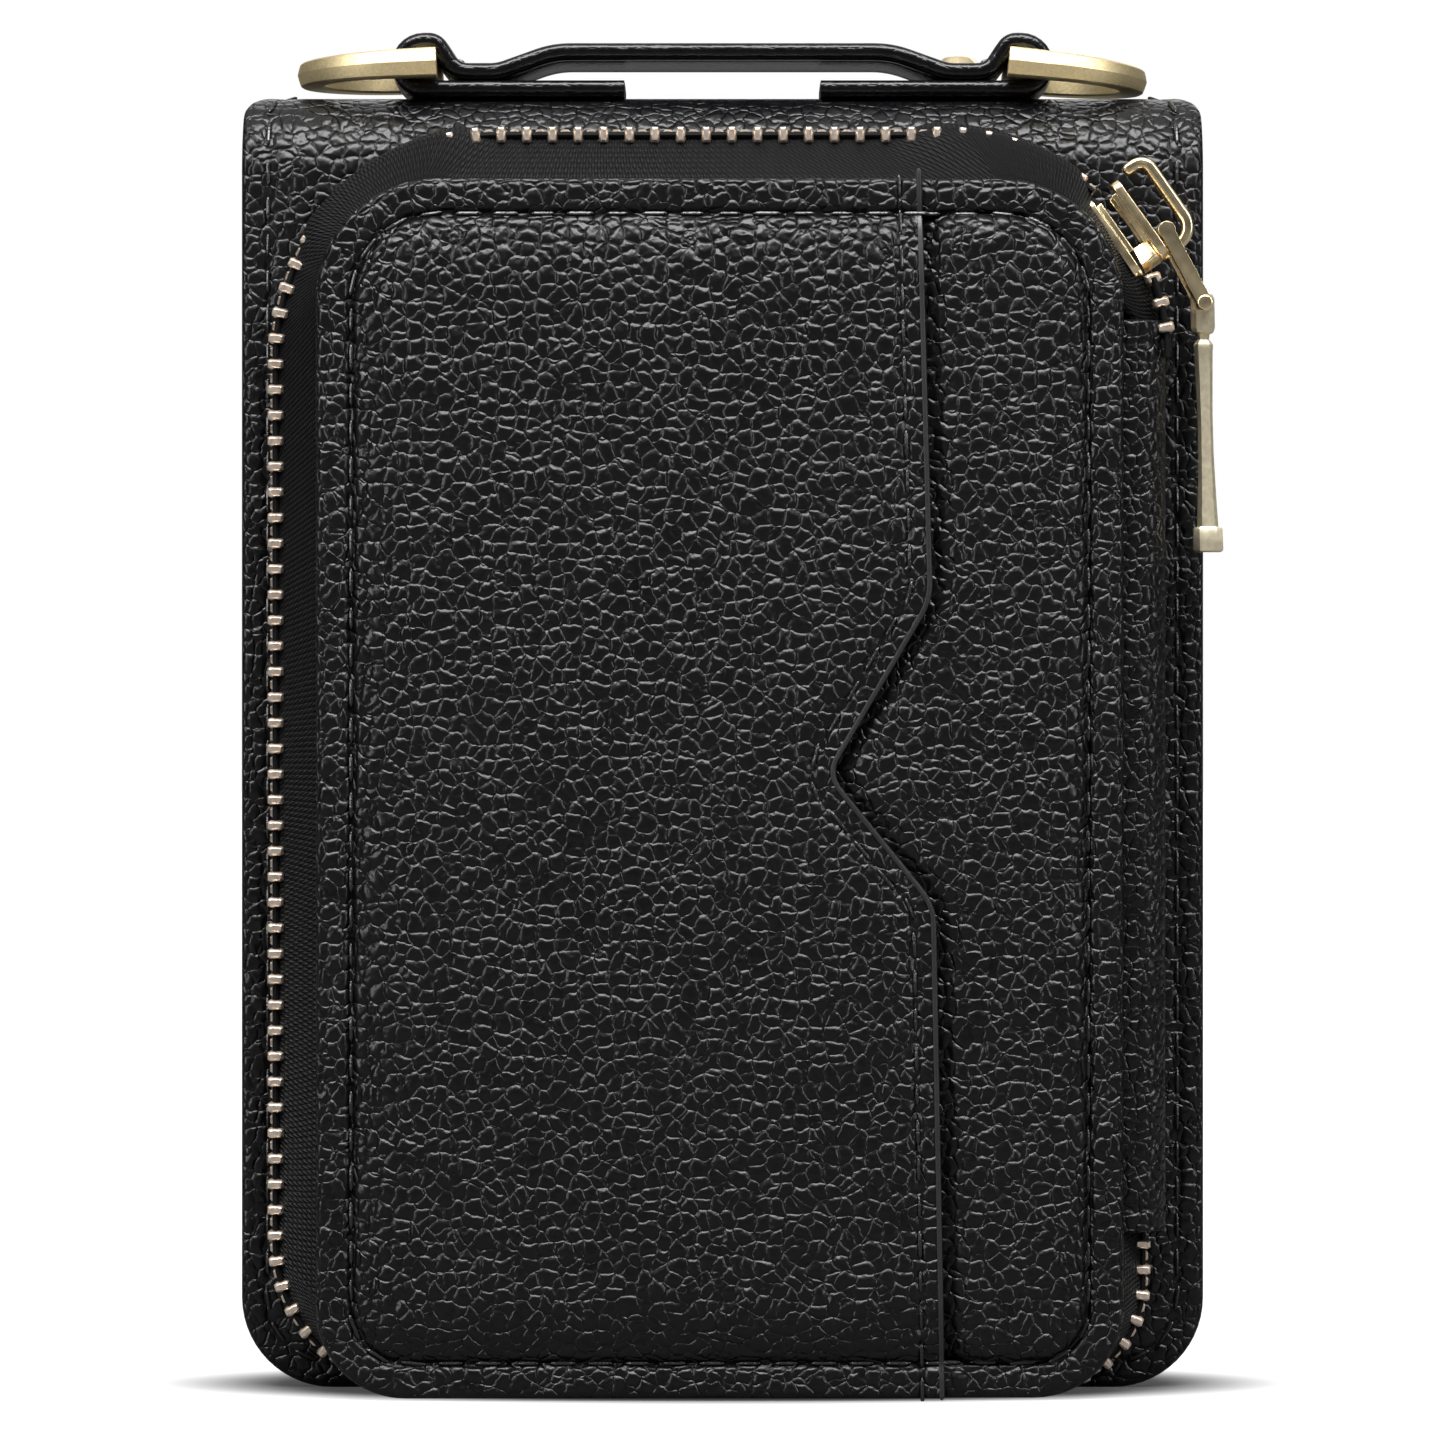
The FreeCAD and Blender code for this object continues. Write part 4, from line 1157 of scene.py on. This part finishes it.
def makeZip():
    line = chainLine()
    total = lengthTo(line, lambda point: False)
    cornerFrom = lengthTo(line, lambda point: cornerAngle(point) > chainSet["cornerStart"])
    turn = math.degrees(chainSet["sliderHalf"] / chainSet["topRadius"])
    sliderFrom = lengthTo(line, lambda point: cornerAngle(point) > chainSet["sliderAt"] - turn)
    openFrom = lengthTo(line, lambda point: cornerAngle(point) > chainSet["sliderAt"] + turn)
    pitch = chainSet["pitch"]
    middle = chainSet["middle"]
    around = [(math.cos(math.radians(angle)), math.sin(math.radians(angle))) for angle in range(0, 360, 30)]
    for side, row, body in ((-1, "Front", "pocket_door"), (1, "Rear", "front_cover")):
        template = toothTemplate(side)
        first = pitch * (0.5 if side < 0 else 1.0)
        slack = chainSet["slack"] * pitch
        count = int((sliderFrom - first) / pitch)
        run = cutLine(line, first, first + count * pitch + slack)
        paths = [[(point.x, middle, point.y) for point in run]]
        openCount = int((total - openFrom) / pitch) - 1
        openLine = cutLine(line, openFrom + slack, openFrom + openCount * pitch + 2 * slack)
        least, run = chainSet["openLeast"], chainSet["openRun"]
        spreadAt = [chainSet["openSpread"] * (least + (1 - least) * min(index / run, 1))
                    for index in range(len(openLine))]
        paths.append([(point.x, middle + side * out, point.y) for point, out in zip(openLine, spreadAt)])
        nodes = [f"zip_{group}_{row.lower()}" for group in ("teeth", "corner", "open_end")]
        teeth = repeatAlong(f"zipTeeth{row}", paths, template, pitch, finish["teeth"], pivot="Y")
        teeth.data.set_sharp_from_angle(angle=chainSet["sharp"])
        rideOn(teeth, body, "zip_metal", *nodes)
        dropTemplate(template)
        centre = (chainSet["cordNear"] + chainSet["cordFar"]) / 2
        half = (chainSet["cordFar"] - chainSet["cordNear"]) / 2
        section = [(half * a, chainSet["cordTall"] / 2 * b) for a, b in around]
        openCentre = centre + chainSet["openSpread"]
        cords = ((cutLine(line, 0, sliderFrom), middle + side * centre, "Cord"),
                 (cutLine(line, openFrom, total - slack), middle + side * openCentre, "OpenCord"))
        for stretch, y, kind in cords:
            cord = sweepSection(f"zip{kind}{row}", section, cordStations(stretch, y), finish["cord"])
            rideOn(cord, body, "zip_tape")


def smoothStep(value, low, high):
    share = min(max((value - low) / (high - low), 0.0), 1.0)
    return share * share * (3 - 2 * share)


def puckerAt(point):
    # 1 where the tape stands out over the chain: the top left corner, and the right one up to the slider
    heights, distances = chainSet["puckerLeft"]
    left = smoothStep(point.y, *heights) * smoothStep(-point.x, *distances)
    distances, degrees = chainSet["puckerRight"]
    right = 0.0
    if point.x > 0:
        right = smoothStep(point.x, *distances) * (1 - smoothStep(cornerAngle(point), *degrees))
    return max(left, right if point.y > chainSet["top"] / 2 else 0.0)


def tapeGrids(nearOutline, nearY, farOutline, farY):
    # both outlines run anticlockwise from the bottom left corner and are matched point by point
    levels = chainSet["tapeLevels"]
    outer, inner, places = [], [], []
    count = len(nearOutline)
    along = [0.0]
    for index in range(count):
        along.append(along[-1] + math.dist(nearOutline[index], nearOutline[(index + 1) % count]))
    for level in range(levels + 1):
        share = level / levels
        y = nearY + (farY - nearY) * share
        row, back, place = [], [], []
        for index in range(count + 1):
            here = Vector(nearOutline[index % count]).lerp(Vector(farOutline[index % count]), share)
            before = Vector(nearOutline[index % count - 1])
            after = Vector(nearOutline[(index + 1) % count])
            way = (after - before).normalized()
            inwards = Vector((-way.y, way.x)) * chainSet["tapeThick"]
            swell = chainSet["pucker"] * puckerAt(Vector(nearOutline[index % count]))
            here -= inwards.normalized() * swell * math.sin(math.pi * share ** 0.62) ** 1.3
            row.append((here.x, y, here.y))
            back.append((here.x + inwards.x, y, here.y + inwards.y))
            place.append((along[index], share * (abs(farY - nearY) + chainSet["clothTurn"])))
        outer.append(row)
        inner.append(back)
        places.append(place)
    return outer, inner, places


def cutGrid(grids, keep):
    # the columns for which keep says yes, as one run
    outer, inner, places = grids
    columns = [index for index in range(len(outer[0])) if keep(outer[0][index])]
    gap = next((position for position in range(1, len(columns))
                if columns[position] != columns[position - 1] + 1), 0)
    columns = columns[gap:] + columns[:gap]
    return [[[row[index] for index in columns] for row in grid] for grid in (outer, inner, places)]


def makeTapes():
    chainCorners = [(chainSet["left"], chainSet["low"]), (chainSet["rightLow"], chainSet["low"]),
                    (chainSet["rightTop"], chainSet["top"]), (chainSet["left"], chainSet["top"])]
    chainRadii = (chainSet["leftRadius"], chainSet["rightRadius"], chainSet["topRadius"],
                  chainSet["topRadius"])
    near = roundedOutline(chainCorners, chainRadii)
    doorEdge = roundedOutline(rectangle(*doorBox), doorSet["radii"], chainSet["doorSeam"])
    wallEdge = roundedOutline(chainCorners, chainRadii, chainSet["wallSeam"])
    middle = chainSet["middle"]
    tuck = chainSet["tuck"]

    def keep(point):
        x, y, z = point
        behindStrip = x > chainSet["stripSide"] and stripLow.z + tuck < z < stripHigh.z - tuck
        return not behindStrip

    for row, farOutline, side, farY, body in (("Front", doorEdge, -1, rimHigh.y, "pocket_door"),
                                              ("Rear", wallEdge, 1, coverLow.y, "front_cover")):
        nearPoints, farPoints = matchOutlines(near, farOutline, chainSet["matchStep"])
        grids = tapeGrids(nearPoints, middle + side * chainSet["tapeNear"], farPoints, farY)
        outer, inner, places = cutGrid(grids, keep)
        tape = gridShell(f"zipTape{row}", outer, inner, finish["tape"], places)
        rideOn(tape, body, "zip_tape", f"zip_tape_{row.lower()}", f"zip_tape_corner_{row.lower()}")


def matchOutlines(first, second, step):
    # the same count of points on both, closer together along their straight runs
    near, far = [], []
    count = len(first)
    for index in range(count):
        after = (index + 1) % count
        parts = max(int(math.dist(first[index], first[after]) / step), 1)
        for part in range(parts):
            near.append(tuple(Vector(first[index]).lerp(Vector(first[after]), part / parts)))
            far.append(tuple(Vector(second[index]).lerp(Vector(second[after]), part / parts)))
    return near, far


makeZip()
makeTapes()
print("zip is made")


# ---- hinge strip: one leather strip from the cover to the door, hemmed at both ends
stripSet = {
    "thick": 1.4 * mm, "bend": 2.2 * mm, "doorFoot": 37.2 * mm, "coverFoot": 38.6 * mm,
    "hem": 2.0 * mm, "hemRise": 0.28 * mm, "hemGroove": 0.18 * mm, "grooveHalf": 0.3 * mm, "round": 0.5 * mm,
    "fine": (0, 0.06, 0.14, 0.26, 0.4, 0.6, 1.0, 1.5, 1.8, 2.0, 2.15, 2.3, 2.5, 2.8, 3.3, 4.0),
    "step": 1.3 * mm, "lineStep": 0.35 * mm, "thinner": 0.05 * mm,
    "reach": 2.4 * mm,              # of the bend, to both sides of the hinge's axis
}


def stripSwell(z):
    # the hems stand a little thicker and end in a round edge
    swell = 0.0
    for end in (z - stripLow.z, stripHigh.z - z):
        if end < stripSet["hem"]:
            swell = stripSet["hemRise"] * math.sin(math.pi / 2 * min(end / stripSet["round"], 1))
        past = end - stripSet["hem"] - stripSet["grooveHalf"]
        swell -= stripSet["hemGroove"] * math.exp(-(past / stripSet["grooveHalf"]) ** 2)
        if end < stripSet["round"]:
            edge = stripSet["round"]
            swell -= edge - math.sqrt(max(edge ** 2 - (edge - end) ** 2, 0))
    return swell


def makeStrip():
    half = stripSet["thick"] / 2
    middle = stripHigh.x - half
    doorSide, coverSide = rimHigh.y + half, coverLow.y - half
    corners = [(stripSet["coverFoot"], coverSide), (middle, coverSide),
               (middle, doorSide), (stripSet["doorFoot"], doorSide)]
    line = roundedPath(corners, [0, stripSet["bend"], stripSet["bend"], 0], stripSet["lineStep"])
    rows = spread(stripLow.z, stripHigh.z, [gap * mm for gap in stripSet["fine"]], stripSet["step"])
    front, back = [], []
    for z in rows:
        swell = stripSwell(z)
        outer, inner = [], []
        for point, way in line:
            out = Vector((way.y, -way.x))
            here = point + out * (half + swell)
            other = point - out * (half - stripSet["thinner"] + min(swell, 0))
            outer.append((here.x, here.y, z))
            inner.append((other.x, other.y, z))
        front.append(outer)
        back.append(inner)
    strip = gridShell("hingeStrip", front, back, finish["strip"])
    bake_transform(strip)
    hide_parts("hinge_strip_front", "hinge_strip_rear")


makeStrip()
print("hinge strip is made")


# ---- carry strap: tails on the spine, a loop round each ring's bar and a sewn grip
strapLow, strapHigh = boxOf("handle_strap")
strapSet = {
    "leather": 1.7 * mm, "tail": 9.9 * mm, "ringAt": 30.1 * mm, "loop": 2.4 * mm, "rise": 2.0 * mm,
    "dipInner": 22.6 * mm, "dipOuter": 26.9 * mm, "gripEnd": 17.0 * mm,
    # distance in from the edge, share of half the thickness and what stands above it
    "edge": [(0.0, 0.0, 0.0), (0.06, 0.45, 0.0), (0.22, 0.78, 0.0), (0.5, 0.97, 0.0), (0.9, 1.0, 0.0),
             (1.6, 1.0, 0.03), (1.9, 1.0, -0.04), (2.1, 1.0, -0.12), (2.3, 1.0, -0.04), (2.7, 1.0, 0.03)],
    "crown": (0.3, 0.12 * mm),
    "stitchInset": 2.1 * mm, "stitchPitch": 2.6 * mm, "stitchSunk": 0.2 * mm,
    "gap": 0.05 * mm, "lineStep": 0.5 * mm,
}


def strapLine():
    thick = strapSet["leather"]
    loop = strapSet["loop"]
    tail = wallTop + thick / 2
    crest = tail + 2 * loop
    dip = tail + thick + strapSet["gap"]
    grip = dip + strapSet["rise"]
    end = strapSet["ringAt"] + loop
    right = [(strapSet["tail"], tail), (end, tail), (end, crest), (strapSet["ringAt"] - loop / 2, crest),
             (strapSet["dipOuter"], dip), (strapSet["dipInner"], dip), (strapSet["gripEnd"], grip)]
    radii = [0, loop, loop, loop / 2, loop, 2 * loop, 4 * loop]
    left = [(-x, z) for x, z in reversed(right)]
    return roundedPath(right + left, radii + radii[::-1], strapSet["lineStep"])


def strapSection():
    # across the strap and outward from its middle, with soft edges and a sewn line near each
    half = strapSet["leather"] / 2
    wide = (strapHigh.y - strapLow.y) / 2
    edge = [(wide - inset * mm, half * share + rise * mm) for inset, share, rise in strapSet["edge"]]
    edge.append((wide * strapSet["crown"][0], half + strapSet["crown"][1]))
    top = edge + [(-a, b) for a, b in reversed(edge)]
    return top + [(a, -b) for a, b in reversed(top[1:-1])]


def makeStrap():
    middleY = (strapLow.y + strapHigh.y) / 2
    line = strapLine()
    stations = [(Vector((point.x, middleY, point.y)), Vector((0, 1, 0)), Vector((way.y, 0, -way.x)))
                for point, way in line]
    strap = sweepSection("handleStrap", strapSection(), stations, finish["strap"])
    rideOn(strap, "spine", "pebbled_leather", "handle_strap")
    paths = []
    half = strapSet["leather"] / 2
    for y in (strapLow.y + strapSet["stitchInset"], strapHigh.y - strapSet["stitchInset"]):
        top = [point + Vector((way.y, -way.x)) * (half - strapSet["stitchSunk"]) for point, way in line]
        paths.append([(point.x, y, point.y) for point in top
                      if point.y > wallTop + 1.2 * strapSet["leather"]
                      and abs(point.x) < strapSet["dipOuter"]])
    row = repeatAlong("strapStitches", paths, shortStitch, strapSet["stitchPitch"], finish["thread"],
                      stitchSet["uneven"])
    rideOn(row, "spine", "pebbled_leather")


makeStrap()
print("strap is made")


# ---- metal: rings, slider, link and puller
def joined(name, pieces):
    # several closed shells as one piece
    work = bmesh.new()
    for piece in pieces:
        work.from_mesh(piece.data)
    mesh = pieces[0].data.copy()
    mesh.name = name
    work.to_mesh(mesh)
    work.free()
    for piece in pieces:
        dropTemplate(piece)
    mesh.shade_smooth()
    return linked(name, mesh)


ringSet = {
    "at": 30.1 * mm, "rise": 3.25 * mm, "half": 1.35 * mm, "bow": 9.15 * mm, "bowAt": 2.6 * mm,
    "droop": {"left": 2.6, "right": 5.7},
    # outwards and upwards, as shares of the half section, with a ridge along the outer side
    "section": [(1.0, 0.05), (0.9, 0.5), (0.78, 0.88), (0.62, 1.0), (-0.85, 1.0), (-1.0, 0.85),
                (-1.0, -0.85), (-0.85, -1.0), (0.62, -1.0), (0.78, -0.88), (0.9, -0.45)],
    "tall": 1.08, "low": 0.88, "steps": 36, "barSteps": 16, "sharp": math.radians(22),
}


def makeRing(side):
    way = -1 if side == "left" else 1
    half, bow = ringSet["half"], ringSet["bow"]
    strapMiddle = (strapLow.y + strapHigh.y) / 2
    path = [(Vector((-half, bow)), Vector((0, 1))), (Vector((ringSet["bowAt"] / 2, bow)), Vector((0, 1)))]
    steps = ringSet["steps"]
    for step in range(steps + 1):
        angle = math.pi / 2 - math.pi * step / steps
        out = Vector((math.cos(angle), math.sin(angle)))
        path.append((Vector((ringSet["bowAt"], 0)) + out * bow, out))
    path += [(Vector((place.x, -place.y)), Vector((0, -1))) for place, out in reversed(path[:2])]
    droop = Matrix.Rotation(math.radians(way * ringSet["droop"][side]), 3, "Y")
    centre = Vector((way * ringSet["at"], strapMiddle, wallTop + ringSet["rise"]))
    reach = ringSet["bowAt"] + bow
    loops = []
    for place, out in path:
        share = max(place.x, 0) / reach
        tall = half * (ringSet["tall"] + (ringSet["low"] - ringSet["tall"]) * share)
        loop = []
        for outwards, up in ringSet["section"]:
            flat = place + out * (outwards * half)
            loop.append(centre + droop @ Vector((way * flat.x, flat.y, up * tall)))
        loops.append(loop)
    hoop = stackLoops("hoop", loops, finish["satinGold"])
    turns = [2 * math.pi * step / ringSet["barSteps"] for step in range(ringSet["barSteps"])]
    barLoops = [[centre + Vector((half * math.cos(turn), y, half * math.sin(turn))) for turn in turns]
                for y in (-bow + half / 2, bow - half / 2)]
    bar = stackLoops("bar", barLoops, finish["satinGold"])
    ring = joined(f"dRing{side.capitalize()}", [hoop, bar])
    ring.data.set_sharp_from_angle(angle=ringSet["sharp"])
    rideOn(ring, f"d_ring_{side}", "satin_brass", f"d_ring_{side}")


softSet = {"same": 1e-6, "flat": math.radians(1), "segments": 3, "edge": math.radians(32),
           "sharp": math.radians(40)}


def softCopy(name, node, width, body):
    # the solid's own shape with its sharp edges eased
    work = bmesh.new()
    work.from_mesh(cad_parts[node].data)
    bmesh.ops.remove_doubles(work, verts=work.verts, dist=softSet["same"])
    bmesh.ops.dissolve_limit(work, angle_limit=softSet["flat"], verts=work.verts, edges=work.edges)
    mesh = bpy.data.meshes.new(name + "Plain")
    work.to_mesh(mesh)
    work.free()
    plain = linked(name + "Plain", mesh)
    ease = plain.modifiers.new("ease", "BEVEL")
    ease.width = width
    ease.segments = softSet["segments"]
    ease.limit_method = "ANGLE"
    ease.angle_limit = softSet["edge"]
    bpy.context.view_layer.update()
    result = bpy.data.meshes.new_from_object(plain.evaluated_get(bpy.context.evaluated_depsgraph_get()))
    result.name = name
    plain.modifiers.clear()
    dropTemplate(plain)
    result.materials.clear()
    result.materials.append(finish["gold"])
    result.shade_smooth()
    result.set_sharp_from_angle(angle=softSet["sharp"])
    rideOn(linked(name, result), body, "gold", node)


barSet = {
    "lean": 0.6 * mm,
    # distance below the pin, half width and half depth: head, neck, waisted shank and end block
    "rows": [(-1.2, 0.62, 0.75), (-1.0, 0.95, 0.98), (-0.55, 1.15, 1.15), (2.3, 1.15, 1.15), (2.75, 1.0, 1.0),
             (2.95, 0.62, 0.7), (3.45, 0.55, 0.62), (3.65, 0.72, 0.8), (3.95, 0.92, 0.95), (4.3, 0.92, 0.95),
             (4.6, 0.88, 0.9), (7.5, 0.8, 0.85), (11.0, 0.72, 0.8), (15.0, 0.74, 0.8), (19.0, 0.88, 0.9),
             (22.0, 1.02, 1.0), (22.1, 1.35, 1.1), (22.3, 1.42, 1.18), (24.2, 1.45, 1.2), (24.4, 1.38, 1.12),
             (24.5, 1.2, 0.95)],
    "bevel": 0.62, "sharp": math.radians(28),
}


def makePullBar():
    low, high = boxOf("pull_bar")
    pinLow, pinHigh = boxOf("pull_pin")
    pin = (pinLow + pinHigh) / 2
    middleY = (low.y + high.y) / 2
    length = pin.z - low.z
    loops = []
    for below, wide, deep in barSet["rows"]:
        share = max(below * mm, 0) / length
        x = pin.x + barSet["lean"] * share
        a, b = wide * mm, deep * mm
        c, d = a * barSet["bevel"], b * barSet["bevel"]
        shape = [(a, -d), (a, d), (c, b), (-c, b), (-a, d), (-a, -d), (-c, -b), (c, -b)]
        loops.append([(x + across, middleY + depth, pin.z - below * mm) for across, depth in shape])
    bar = stackLoops("pullBar", loops, finish["paleGold"])
    bar.data.set_sharp_from_angle(angle=barSet["sharp"])
    rideOn(bar, "pull_bar", "gold", "pull_bar")


makeRing("left")
makeRing("right")
softCopy("sliderBody", "slider_body", 0.22 * mm, "slider")
softCopy("sliderCrown", "slider_crown", 0.34 * mm, "slider")
softCopy("pullLink", "pull_link", 0.38 * mm, "pull_link")
softCopy("pullPin", "pull_pin", 0.2 * mm, "pull_link")
softCopy("handleRivet", "handle_rivet", 0.5 * mm, "spine")
makePullBar()
print("metal is made")


# ---- what keeps its solid's shape gets its own finish
for nodeNames, kind in (
        (("door_board",), "board"),
        (("pocket_lining", "door_lining"), "lining"),
        (("passport_sleeve", "card_slot_1", "card_slot_2", "card_slot_3"), "inner"),
        (("zip_bottom_stop",), "teeth")):
    for nodeName in nodeNames:
        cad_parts[nodeName].material_slots[0].material = finish[kind]

dropTemplate(stitch)
dropTemplate(shortStitch)
